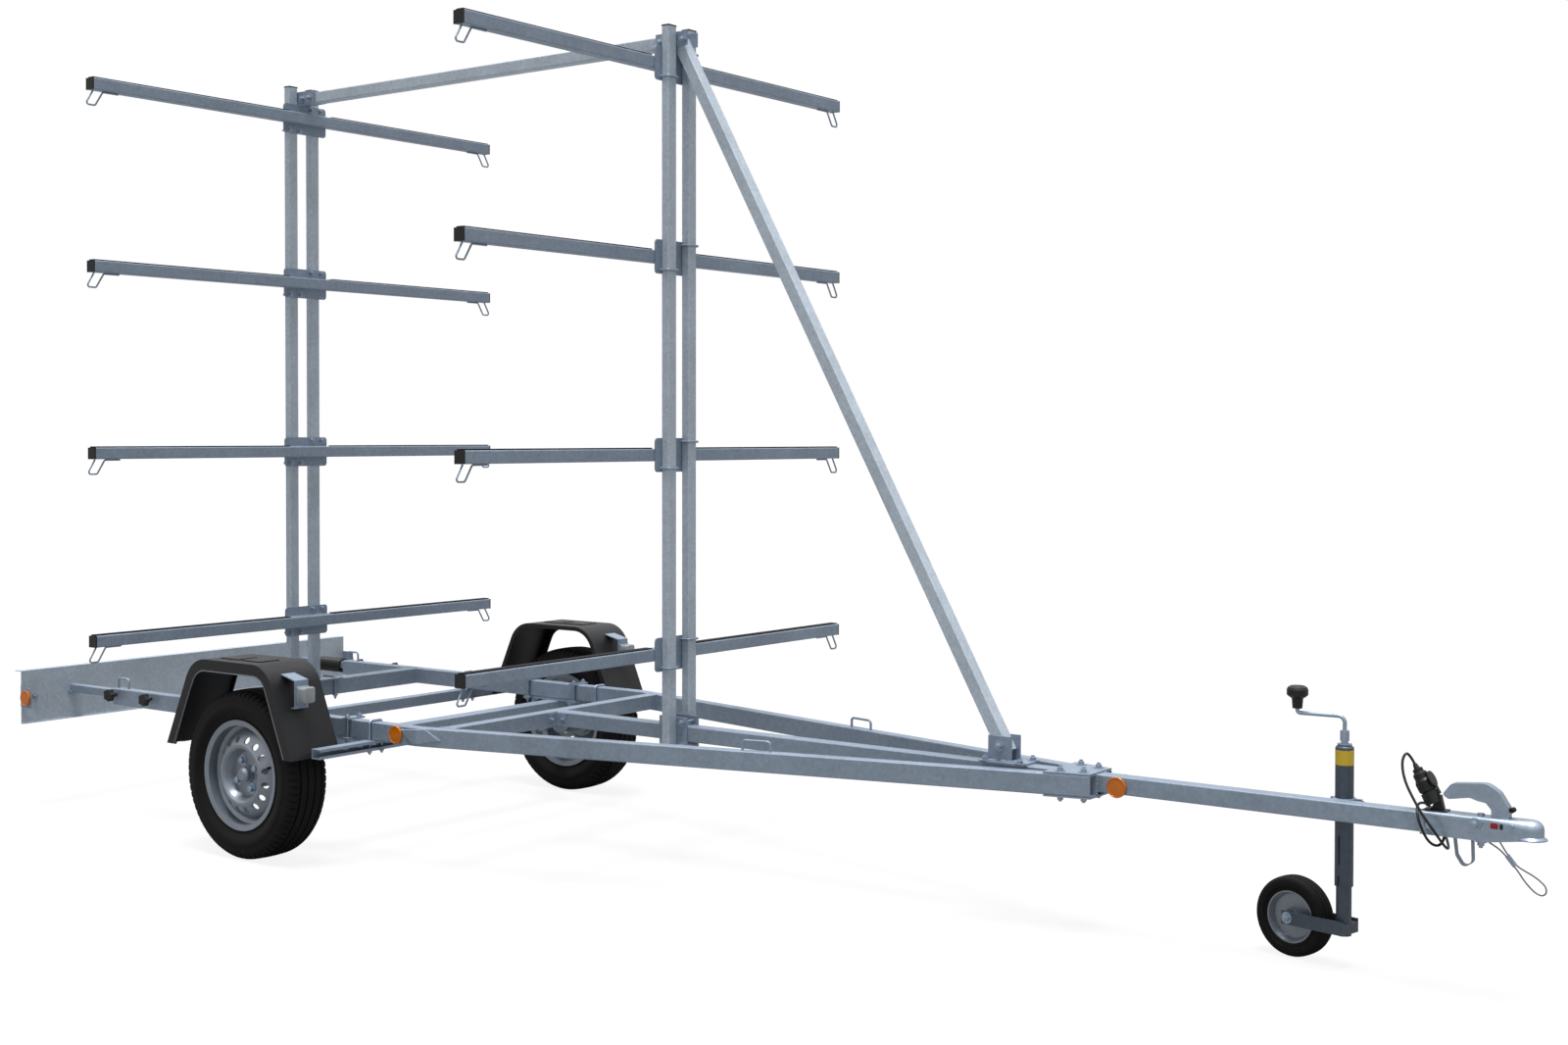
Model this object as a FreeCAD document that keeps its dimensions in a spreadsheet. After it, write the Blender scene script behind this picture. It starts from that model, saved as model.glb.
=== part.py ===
"""Four-level boat rack trailer, as a parametric document.

Frame of the model: X forward to the coupling, Y to the left, Z up, floor at Z = 0.
Pieces are laid out from the middle of the axle at floor level and then shifted
together, so that the origin is the middle of the trailer's own length on the floor.
All sizes are in millimetres.
"""
import FreeCAD, Part
import math
import os
import re
import Sketcher
from FreeCAD import Placement, Rotation, Vector

SIZES = {
    # Reach of the whole trailer from the axle
    "nose_reach": 3888, "tail_reach": 1410,
    # Chassis
    "deck_z": 450, "tube_round": 4, "rail_w": 40, "rail_h": 60, "rail_wall": 3, "rail_inset": 222.5,
    "rail_tail": 1085, "bend_x": 540, "junction_x": 2690, "rail_gap": 0.3,
    "drawbar_w": 50, "drawbar_wall": 4, "drawbar_end": 3722,
    "rear_beam_x": 670, "rear_beam_w": 60,
    "front_beam_x": 600, "front_beam_w": 50,
    "guard_beam_x": 370, "guard_beam_w": 40, "guard_beam_over": 27.5,
    "channel_x": 310, "channel_w": 40, "channel_h": 32, "channel_wall": 3, "channel_lip": 9,
    "gusset_tee": 5, "gusset_len": 130, "gusset_y": 66,
    "bend_plate_tee": 4, "slot_w": 9, "slot_len": 24, "slot_pitch": 60,
    # Running gear
    "track": 1545, "wheel_z": 278, "tyre_r": 278, "tyre_w": 160, "bead_r": 168,
    "tyre_wall": 9, "tyre_tread": 16,
    "rim_lip_r": 181, "rim_w": 128, "rim_tee": 4, "bowl_r": 94, "bowl_out": 66,
    "seat_out": 30, "hole_ring_r": 116, "hole_r": 10.5, "bolt_ring_r": 50,
    "bolt_head_r": 9.5, "bolt_shank_r": 6, "hub_r": 64, "hub_bore": 15.1,
    "spindle_r": 15, "axle_x": 105, "axle_box": 60, "axle_wall": 5, "axle_inset": 197.5,
    "arm_tee": 24, "seat_len": 280, "seat_tee": 8,
    "saddle_back": -15, "saddle_front": 222, "saddle_len": 30, "saddle_half": 37,
    "saddle_tee": 5, "tie_out": 26, "tie_r": 4,
    # Posts and braces
    "post_x": 30, "post_y": 40, "post_wall": 2.5, "post_top": 2705,
    "rear_post_x": 695, "front_post_x": 1167.5, "front_post_foot": 384, "clamp_tee": 6,
    "base_len": 260, "base_w": 110, "clamp_len": 115, "clamp_h": 110,
    "brace_y": 45, "brace_h": 40, "brace_wall": 3, "top_brace_drop": 41,
    "brace_top_x": 1186, "brace_top_drop": 60, "brace_foot_x": 2382, "brace_foot_z": 500,
    "foot_len": 145, "foot_w": 100,
    # Cross arms
    "arm_box": 40, "arm_wall": 2.5, "arm_reach": 943, "arm_plate_y": 200, "arm_plate_h": 110,
    "arm_plate_tee": 5, "level_1": 702, "level_2": 1347, "level_3": 1986, "level_drop": 98,
    "strip_w": 28, "strip_h": 4, "cap_tee": 5, "cap_plug": 16, "cap_play": 0.3,
    "bolt_r": 4, "loop_r": 3, "loop_w": 38, "loop_drop": 48, "loop_lean": 30, "loop_tail": 60,
    "loop_gap": 0.1,
    # Mudguards and front lamps
    "guard_inset": 107.5, "guard_w": 200, "guard_tee": 4, "guard_low": 355, "guard_top": 650,
    "guard_back": 350, "guard_front": 290, "guard_back_top": 215, "guard_front_top": 165,
    "guard_bend": 105, "guard_lip": 38, "guard_inner_lip": 16, "guard_pad": 3,
    # Light board
    "board_x": 1360, "board_y": 770, "board_low": 316, "board_top": 513, "board_tee": 3,
    "board_flange": 40, "board_lip": 9, "carrier_box": 30, "carrier_wall": 2.5,
    "star_r": 23, "lobe_r": 8, "carrier_in": 215, "carrier_z": 429,
    "lamp_len": 220, "lamp_h": 96, "lamp_deep": 47, "lamp_inset": 20, "lamp_round": 10,
    "curl_r": 30, "curl_wire": 7, "curl_back": 1246, "curl_front": 1095, "curl_gap": 0.3,
    # Jockey wheel
    "jockey_x": 3357, "jockey_y": 76, "jockey_r": 24, "jockey_wall": 3, "jockey_low": 214,
    "jockey_top": 582, "leg_r": 20, "leg_wall": 3, "leg_low": 84, "leg_top": 470,
    "fork_reach": 148, "fork_turn": -12, "fork_tee": 4, "fork_h": 36, "bridge_h": 28,
    "jockey_wheel_r": 107.5, "jockey_wheel_w": 60, "jockey_rim_r": 70, "crank_reach": 125,
    "crank_rise": 76, "crank_r": 5.5, "knob_r": 28, "knob_stem_r": 15, "clamp_wall": 6,
    # Plug, leads and rope
    "plug_x": 3616, "plug_z": 472, "plug_lean": 28.7, "plug_r": 21, "plug_nose_r": 18,
    "plug_len": 107, "holder_deep": 30, "holder_wall": 3.7, "flap_r": 21, "flap_tee": 4,
    "cable_r": 3.5, "rope_r": 2, "ferrule_w": 13, "ferrule_t": 8, "strap_w": 20,
    # Coupling
    "shell_back": 3588, "shell_waist": 3760, "shell_wall": 4, "shell_play": 0.3,
    "shell_round": 8, "nose_round": 24, "ball_r": 25, "ball_play": 0.5, "ball_x": 3850,
    "ball_z": 428, "pivot_x": 3811, "pivot_z": 441, "pivot_r": 5, "lever_w": 28,
    "lever_wall": 3, "panel_deep": 1.2, "anchor_x": 3730, "anchor_r": 5,
}

# Places that follow the track and the posts' height
TIED = {
    "rail_y": "track / 2 - rail_inset", "axle_y": "track / 2 - axle_inset",
    "guard_y": "track / 2 - guard_inset", "guard_beam_y": "track / 2 + guard_beam_over",
    "level_4": "post_top - level_drop",
}

doc = FreeCAD.newDocument("boat_trailer")
sheet = doc.addObject("Spreadsheet::Sheet", "dims")
ROWS = list(SIZES.items()) + [(word, f"={formula}") for word, formula in TIED.items()]
for row, (word, content) in enumerate(ROWS, start=1):
    sheet.set(f"A{row}", word)
    sheet.set(f"B{row}", str(content))
    sheet.setAlias(f"B{row}", word)
doc.recompute()

WORD = re.compile(r"[a-z]+(?:_[a-z0-9]+)+|track")
ALONG = {
    "x": Rotation(Vector(1, 1, 1), 120),
    "y": Rotation(Vector(1, 1, 1), 240),
    "z": Rotation(),
}
ORIGIN_X = "(tail_reach - nose_reach) / 2"
NODES = []


# Helpers

def size(word):
    """Read a driving dimension from the sheet."""
    return float(sheet.get(word))


def bind(item, prop, formula):
    """Bind a property to a formula written with the sheet's own words."""
    def cell(match):
        word = match.group(0)
        return "dims." + word if word in SIZES or word in TIED else word
    item.setExpression(prop, WORD.sub(cell, str(formula)))


def place(item, x="0", y="0", z="0", rotation=None):
    item.Placement = Placement(Vector(), rotation or Rotation())
    for axis, formula in zip("xyz", (x, y, z)):
        bind(item, f"Placement.Base.{axis}", formula)
    return item


def box(x, y, z, dx, dy, dz):
    """A block from its low corner and its three sizes."""
    item = doc.addObject("Part::Box", "block")
    for prop, formula in (("Length", dx), ("Width", dy), ("Height", dz)):
        bind(item, prop, formula)
    return place(item, x, y, z)


def rod(x, y, z, radius, length, along="z"):
    """A round bar that starts at a point and runs along one axis."""
    item = doc.addObject("Part::Cylinder", "bar")
    bind(item, "Radius", radius)
    bind(item, "Height", length)
    return place(item, x, y, z, ALONG[along])


def fuse(*items):
    item = doc.addObject("Part::MultiFuse", "joined")
    item.Shapes = list(items)
    return item


def cut(base, *tools):
    item = doc.addObject("Part::Cut", "trimmed")
    item.Base = base
    item.Tool = tools[0] if len(tools) == 1 else fuse(*tools)
    return item


def node(label, *items):
    """Name one sub-part and shift it to the trailer's origin."""
    item = doc.addObject("Part::Compound", label)
    item.Label = label
    item.Links = list(items)
    bind(item, "Placement.Base.x", ORIGIN_X)
    NODES.append(item)
    return item


def new_body():
    body = doc.addObject("PartDesign::Body", "body")
    return body


def sketch_in(body, role="XY_Plane"):
    sketch = body.newObject("Sketcher::SketchObject", "outline")
    plane = [f for f in body.Origin.OriginFeatures if f.Role == role][0]
    sketch.AttachmentSupport = [(plane, "")]
    sketch.MapMode = "FlatFace"
    return sketch


def polygon(sketch, points):
    """A closed outline whose corners are formulas, two for each corner."""
    start = sketch.GeometryCount
    count = len(points)
    ring = [Vector(math.cos(2 * math.pi * i / count), math.sin(2 * math.pi * i / count), 0)
            for i in range(count)]
    for i in range(count):
        sketch.addGeometry(Part.LineSegment(ring[i] * 100, ring[(i + 1) % count] * 100), False)
    for i in range(count):
        sketch.addConstraint(Sketcher.Constraint("Coincident", start + i, 2,
                                                 start + (i + 1) % count, 1))
    for i, corner in enumerate(points):
        for kind, formula, initial in zip("XY", corner, (ring[i].x, ring[i].y)):
            index = sketch.addConstraint(
                Sketcher.Constraint(f"Distance{kind}", -1, 1, start + i, 1, initial * 100))
            name = f"{kind.lower()}_{start + i}"
            sketch.renameConstraint(index, name)
            bind(sketch, f"Constraints.{name}", formula)


def rectangle(sketch, width, height, cx="0", cy="0"):
    polygon(sketch, [(f"{cx} - {width} / 2", f"{cy} - {height} / 2"),
                     (f"{cx} + {width} / 2", f"{cy} - {height} / 2"),
                     (f"{cx} + {width} / 2", f"{cy} + {height} / 2"),
                     (f"{cx} - {width} / 2", f"{cy} + {height} / 2")])


def pad(body, sketch, length):
    feature = body.newObject("PartDesign::Pad", "pad")
    feature.Profile = sketch
    bind(feature, "Length", length)
    return feature


def revolve(body, sketch):
    feature = body.newObject("PartDesign::Revolution", "turned")
    feature.Profile = sketch
    feature.ReferenceAxis = (sketch, ["V_Axis"])
    feature.Angle = 360
    return feature


def ease(body, sweep, edges, radius):
    """Round chosen edges of a padded outline."""
    bend = body.newObject("PartDesign::Fillet", "bend")
    bend.Base = (sweep, edges)
    bind(bend, "Radius", radius)


def tube(along, width, height, wall, length, x, y, z):
    """A rectangular tube; width and height follow the axis order y-z, z-x or x-y."""
    body = new_body()
    sketch = sketch_in(body)
    rectangle(sketch, width, height)
    rectangle(sketch, f"({width} - 2 * {wall})", f"({height} - 2 * {wall})")
    sweep = pad(body, sketch, length)
    doc.recompute()
    runs = [(math.hypot(e.CenterOfMass.x, e.CenterOfMass.y), f"Edge{i + 1}")
            for i, e in enumerate(sweep.Shape.Edges)
            if abs(e.tangentAt(e.FirstParameter).z) > 0.99]
    ease(body, sweep, [name for _, name in sorted(runs)[-4:]], "tube_round")
    return place(body, x, y, z, ALONG[along])


def prism(along, points, length, x="0", y="0", z="0"):
    """A padded outline; its corners follow the axis order y-z, z-x or x-y."""
    body = new_body()
    sketch = sketch_in(body)
    polygon(sketch, points)
    pad(body, sketch, length)
    return place(body, x, y, z, ALONG[along])


def rounded_path(points, radius):
    """A wire of straight runs joined by tangent arcs of one radius or one for each corner."""
    points = [Vector(*p) for p in points]
    edges = []
    here = points[0]
    for i in range(1, len(points) - 1):
        corner = points[i]
        back = (points[i - 1] - corner).normalize()
        ahead = (points[i + 1] - corner).normalize()
        half = back.getAngle(ahead) / 2
        r = radius[i - 1] if isinstance(radius, (list, tuple)) else radius
        reach = r / math.tan(half)
        first, last = corner + back * reach, corner + ahead * reach
        bisector = (back + ahead).normalize()
        middle = corner + bisector * (r / math.sin(half) - r)
        if (first - here).Length > 1e-6:
            edges.append(Part.LineSegment(here, first).toShape())
        edges.append(Part.Arc(first, middle, last).toShape())
        here = last
    if (points[-1] - here).Length > 1e-6:
        edges.append(Part.LineSegment(here, points[-1]).toShape())
    return Part.Wire(edges)


def bent_rod(points, bend, radius):
    """A round rod bent along straight runs."""
    wire = rounded_path(points, bend)
    start = wire.OrderedEdges[0]
    heading = start.tangentAt(start.FirstParameter)
    ring = Part.Wire([Part.makeCircle(radius, Vector(*points[0]), heading)])
    return wire.makePipeShell([ring], True, False)


def shaped(shape):
    """A piece whose shape comes from Part's own functions."""
    item = doc.addObject("Part::Feature", "formed")
    item.Shape = shape
    return item


# Chassis

RAIL_IN = "(rail_y - rail_w / 2)"
NOSE_IN = "(drawbar_w / 2 + rail_gap)"
SPREAD = f"({RAIL_IN} - {NOSE_IN})"
V_ANGLE = f"atan({SPREAD} / (junction_x - bend_x))"
RAIL_LOW = "(deck_z - rail_h)"
DRAWBAR_Z = "(deck_z - drawbar_w / 2)"


def rail_outline(side, inset):
    """Corners of a bent rail seen from above, drawn in by an inset."""
    shift = f"({inset} * tan({V_ANGLE} / 2))"
    slope = f"({inset} / cos({V_ANGLE}))"
    corners = [
        ("-rail_tail", f"{RAIL_IN} + {inset}"),
        (f"bend_x + {shift}", f"{RAIL_IN} + {inset}"),
        ("junction_x", f"{NOSE_IN} + {slope}"),
        ("junction_x", f"{NOSE_IN} + rail_w / cos({V_ANGLE}) - {slope}"),
        (f"bend_x + rail_w * tan({V_ANGLE} / 2) - {shift}", f"{RAIL_IN} + rail_w - {inset}"),
        ("-rail_tail", f"{RAIL_IN} + rail_w - {inset}"),
    ]
    return [(x, f"{side} * ({y})") for x, y in corners]


def rail(side):
    """Bent side rail, open at both ends, with holes for the clamping screws."""
    outside = prism("z", rail_outline(side, "0"), "rail_h", z=RAIL_LOW)
    doc.recompute()
    sweep = outside.Tip
    ease(outside, sweep, [f"Edge{i + 1}" for i, e in enumerate(sweep.Shape.Edges)
                          if abs(e.tangentAt(e.FirstParameter).x) > 0.5], "tube_round")
    hollow = prism("z", rail_outline(side, "rail_wall"), "(rail_h - 2 * rail_wall)",
                   z=f"{RAIL_LOW} + rail_wall")
    mouth = box("-rail_tail - 1", f"{side} * rail_y - rail_w / 2 + rail_wall",
                f"{RAIL_LOW} + rail_wall", "2", "rail_w - 2 * rail_wall",
                "rail_h - 2 * rail_wall")
    holes = [rod(f"-{x}", f"{side} * rail_y + ({side} - 1) / 2 * (rail_w / 2 + 1)",
                 "carrier_z", "5.2", "rail_w / 2 + 1", "y") for x in KNOBS]
    return cut(outside, hollow, mouth, *holes)


KNOBS = ("1062", "850")
node("rail_right", rail("-1"))
node("rail_left", rail("1"))
node("rear_crossbeam", tube("y", "rail_h", "rear_beam_w", "rail_wall", f"2 * {RAIL_IN}",
                            "-rear_beam_x", f"-{RAIL_IN}", "deck_z - rail_h / 2"))


def rail_inside(x):
    return f"({RAIL_IN} - ({x} - bend_x) * tan({V_ANGLE}))"


front_back = rail_inside("front_beam_x")
front_face = rail_inside("(front_beam_x + front_beam_w)")
beam_outline = [("front_beam_x", f"-{front_back}"),
                ("front_beam_x + front_beam_w", f"-{front_face}"),
                ("front_beam_x + front_beam_w", front_face), ("front_beam_x", front_back)]
beam_solid = prism("z", beam_outline, "front_beam_w", z="deck_z - front_beam_w")
beam_hollow = box("front_beam_x + rail_wall", "-rail_y", "deck_z - front_beam_w + rail_wall",
                  "front_beam_w - 2 * rail_wall", "2 * rail_y", "front_beam_w - 2 * rail_wall")
node("front_crossbeam", cut(beam_solid, beam_hollow))

node("drawbar", tube("x", "drawbar_w", "drawbar_w", "drawbar_wall",
                     "drawbar_end - front_beam_x - front_beam_w",
                     "front_beam_x + front_beam_w", "0", DRAWBAR_Z))

TIE_X = {"beam": "(0 - guard_beam_x)", "channel": "(channel_x + channel_w / 2)"}
TIE_FOOT = {"beam": f"({RAIL_LOW} - guard_beam_w - 14)", "channel": f"({RAIL_LOW} - channel_h - 14)"}


def tie_holes(carrier):
    """Holes for the legs of the U-bolts that hang a cross member under the rails."""
    return [rod(TIE_X[carrier], f"{side} * rail_y + {leg} * tie_out", TIE_FOOT[carrier],
                "tie_r + 0.3", "60", "z") for side in ("-1", "1") for leg in ("-1", "1")]


guard_beam = tube("y", "guard_beam_w", "guard_beam_w", "rail_wall", "2 * guard_beam_y",
                  "-guard_beam_x", "-guard_beam_y", f"{RAIL_LOW} - guard_beam_w / 2")
node("mudguard_beam", cut(guard_beam, *tie_holes("beam")))

channel = [("0", "0"), ("channel_h", "0"), ("channel_h", "channel_w"),
           ("channel_h - channel_lip", "channel_w"),
           ("channel_h - channel_lip", "channel_w - channel_wall"),
           ("channel_h - channel_wall", "channel_w - channel_wall"),
           ("channel_h - channel_wall", "channel_wall"), ("channel_wall", "channel_wall"),
           ("channel_wall", "channel_w - channel_wall"),
           ("channel_lip", "channel_w - channel_wall"), ("channel_lip", "channel_w"),
           ("0", "channel_w")]
SLOTS = 12


def channel_slot(turn):
    """One slot in the web of the channel, counted from its middle."""
    return box("channel_x - 1", f"slot_pitch * {turn} - slot_len / 2",
               f"{RAIL_LOW} - channel_h / 2 - slot_w / 2", "channel_wall + 2", "slot_len", "slot_w")


channel_bar = prism("y", channel, "2 * guard_beam_y", "channel_x", "-guard_beam_y",
                    f"{RAIL_LOW} - channel_h")
node("mudguard_channel", cut(channel_bar, *tie_holes("channel"),
                             *[channel_slot(turn) for turn in range(-SLOTS, SLOTS + 1)]))


def gusset(z):
    back = "(junction_x - gusset_len)"
    wide = f"(gusset_y + gusset_len * tan({V_ANGLE}))"
    corners = [(back, f"-{wide}"), ("junction_x", "-gusset_y"), ("junction_x", "gusset_y"),
               (back, wide)]
    return prism("z", corners, "gusset_tee", z=z)


def beam_bracket(side):
    """Angle that bolts the drawbar to the front crossbeam."""
    flat = "drawbar_w / 2"
    corners = [("front_beam_x + front_beam_w", f"{side} * ({flat})"),
               ("front_beam_x + front_beam_w + 45", f"{side} * ({flat})"),
               ("front_beam_x + front_beam_w + 45", f"{side} * ({flat} + gusset_tee)"),
               ("front_beam_x + front_beam_w + gusset_tee", f"{side} * ({flat} + gusset_tee)"),
               ("front_beam_x + front_beam_w + gusset_tee", f"{side} * ({flat} + 45)"),
               ("front_beam_x + front_beam_w", f"{side} * ({flat} + 45)")]
    return prism("z", corners, "drawbar_w - 8", z="deck_z - drawbar_w + 4")


def bend_plate(side):
    """Slanted plate bent over the outer corner of a rail."""
    slope = math.atan((size("rail_y") - size("rail_w") / 2 - size("drawbar_w") / 2
                       - size("rail_gap")) / (size("junction_x") - size("bend_x")))
    tee, face = size("bend_plate_tee"), size("rail_y") + size("rail_w") / 2
    corner = size("bend_x") + size("rail_w") * math.tan(slope / 2)
    run = 110
    end = Vector(corner + run * math.cos(slope), face - run * math.sin(slope), 0)
    out = Vector(math.sin(slope), math.cos(slope), 0) * tee
    strip = [Vector(corner - run, face, 0), Vector(corner, face, 0), end, end + out,
             Vector(corner + tee * math.tan(slope / 2), face + tee, 0),
             Vector(corner - run, face + tee, 0)]
    skin = Part.Face(Part.makePolygon(strip + strip[:1])).extrude(Vector(0, 0, 100))
    skin.translate(Vector(0, 0, size("deck_z") - 80))
    lozenge = [(-68, -13), (32, -4), (87, -36), (-15, -54)]
    points = [Vector(corner + x, face - 60, size("deck_z") + z) for x, z in lozenge]
    block = Part.Face(Part.makePolygon(points + points[:1])).extrude(Vector(0, 100, 0))
    plate = skin.common(block)
    return shaped(plate if side > 0 else plate.mirror(Vector(), Vector(0, 1, 0)))


node("frame_gussets", gusset("deck_z"), gusset(f"{RAIL_LOW} - gusset_tee"),
     beam_bracket("-1"), beam_bracket("1"), bend_plate(-1), bend_plate(1))

# Running gear

AXLE_Z = f"({RAIL_LOW} - seat_tee - axle_box / 2)"
HUB_Y = "(track / 2 - tyre_w / 2 - 8)"
axle_tube = tube("y", "axle_box", "axle_box", "axle_wall", "2 * axle_y", "axle_x", "-axle_y",
                 AXLE_Z)
seats = [box("axle_x - seat_len / 2", f"{side} * rail_y - rail_w / 2", f"{RAIL_LOW} - seat_tee",
             "seat_len", "rail_w", "seat_tee") for side in ("-1", "1")]
ears = [box(f"{x} - saddle_len / 2", f"{side} * rail_y - saddle_half", f"{RAIL_LOW} - seat_tee",
            "saddle_len", "2 * saddle_half", "seat_tee")
        for side in ("-1", "1") for x in ("saddle_back", "saddle_front")]
ear_holes = [rod(x, f"{side} * rail_y + {leg} * tie_out", f"{RAIL_LOW} - seat_tee - 1",
                 "tie_r + 0.3", "seat_tee + 2")
             for side in ("-1", "1") for leg in ("-1", "1")
             for x in ("saddle_back", "saddle_front")]
node("axle_beam", cut(fuse(axle_tube, *seats, *ears), *ear_holes))


def saddle(x, side):
    """Bar across the rail, drawn down on the axle's seat by a bolt at each side."""
    bar = box(f"{x} - saddle_len / 2", f"{side} * rail_y - saddle_half", "deck_z", "saddle_len",
              "2 * saddle_half", "saddle_tee")
    bolts = [rod(x, f"{side} * rail_y + {leg} * tie_out", f"{RAIL_LOW} - seat_tee - 16", "tie_r",
                 "rail_h + seat_tee + saddle_tee + 22") for leg in ("-1", "1")]
    return fuse(bar, *bolts)


def rail_tie(carrier, x, side):
    """U-bolt over the rail that carries a cross member under it."""
    out, radius = size("tie_out"), size("tie_r")
    low = size("deck_z") - size("rail_h") - 14
    low -= size("guard_beam_w") if carrier == "beam" else size("channel_h")
    top = size("deck_z") + radius
    y = side * size("rail_y")
    path = [(x, y - out, low), (x, y - out, top), (x, y + out, top), (x, y + out, low)]
    return shaped(bent_rod(path, 10, radius))


channel_mid = size("channel_x") + size("channel_w") / 2
node("rail_ties", *[saddle(x, side) for x in ("saddle_back", "saddle_front")
                    for side in ("-1", "1")],
     *[rail_tie("beam", -size("guard_beam_x"), side) for side in (-1, 1)],
     *[rail_tie("channel", channel_mid, side) for side in (-1, 1)])


def swing_arm(side):
    """Trailing arm from the end of the axle tube to the stub axle."""
    outer = f"{side} * axle_y + ({side} - 1) / 2 * arm_tee"
    boss = rod("axle_x", outer, AXLE_Z, "38", "arm_tee", "y")
    eye = rod("0", outer, "wheel_z", "30", "arm_tee", "y")
    web = prism("y", [(f"{AXLE_Z} + 30", "axle_x + 18"), ("wheel_z + 27", "-12"),
                      ("wheel_z - 27", "12"), (f"{AXLE_Z} - 34", "axle_x + 14")],
                "arm_tee", y=outer)
    stub = rod("0", f"{side} * (axle_y + arm_tee / 2) + ({side} - 1) / 2 * "
               f"({HUB_Y} + 52 - axle_y - arm_tee / 2)",
               "wheel_z", "spindle_r", f"{HUB_Y} + 52 - axle_y - arm_tee / 2", "y")
    shoulder_len = f"({HUB_Y} - 0.3 - axle_y - arm_tee)"
    shoulder = rod("0", f"{side} * (axle_y + arm_tee + {shoulder_len} / 2) - "
                   f"{shoulder_len} / 2", "wheel_z", "24", shoulder_len, "y")
    return fuse(boss, eye, web, stub, shoulder)


node("swing_arm_right", swing_arm("-1"))
node("swing_arm_left", swing_arm("1"))


def turned(points, x, y, z):
    """A ring turned about the Y direction; corners are radius and width."""
    body = new_body()
    sketch = sketch_in(body)
    polygon(sketch, points)
    revolve(body, sketch)
    return place(body, x, y, z)


def tyre(radius, width, bead, seat, wall, tread):
    """Half outline of a tyre from bead to bead, outside first and then the inside."""
    half = f"({width} / 2)"
    outside = [(bead, seat), (f"{bead} + 15", f"{seat} + 2"),
               (f"({radius} + {bead}) / 2", half), (f"{radius} - 28", f"{half} * 0.97"),
               (f"{radius} - 9", f"{half} * 0.84"), (f"{radius} - 2", f"{half} * 0.68"),
               (radius, f"{half} * 0.4")]
    inside = [(bead, f"{seat} - 14"), (f"{bead} + 18", f"{seat} - 10"),
              (f"({radius} + {bead}) / 2", f"{half} - {wall}"),
              (f"{radius} - 30", f"{half} * 0.97 - {wall}"),
              (f"{radius} - {tread}", f"{half} * 0.5")]
    right = [(r, f"-({w})") for r, w in outside]
    right_in = [(r, f"-({w})") for r, w in inside]
    return right + outside[::-1] + inside + right_in[::-1]


HAND_HOLES = 16
WHEEL_BOLTS = 4


def hand_hole(side, turn):
    """One of the round holes in the wheel disc."""
    angle = 360 / HAND_HOLES * (turn + 0.5)
    return rod(f"hole_ring_r * cos({angle})", f"{side} * (track / 2 + 46) - 36",
               f"wheel_z + hole_ring_r * sin({angle})", "hole_r", "72", "y")


def bolt_place(turn):
    angle = 360 / WHEEL_BOLTS * turn + 27
    return f"bolt_ring_r * cos({angle})", f"wheel_z + bolt_ring_r * sin({angle})"


def bolt_hole(side, turn):
    x, z = bolt_place(turn)
    return rod(x, f"{side} * (track / 2 + seat_out) - 12", z, "bolt_shank_r + 0.3", "24", "y")


def wheel_bolt(side, turn):
    """One of the wheel bolts, whose head stands on the disc."""
    x, z = bolt_place(turn)
    shank = rod(x, f"{side} * (track / 2 + seat_out) - 8", z, "bolt_shank_r", "16", "y")
    head = rod(x, f"{side} * (track / 2 + seat_out + rim_tee + 6.3) - 6", z, "bolt_head_r", "12",
               "y")
    return fuse(shank, head)


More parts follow.
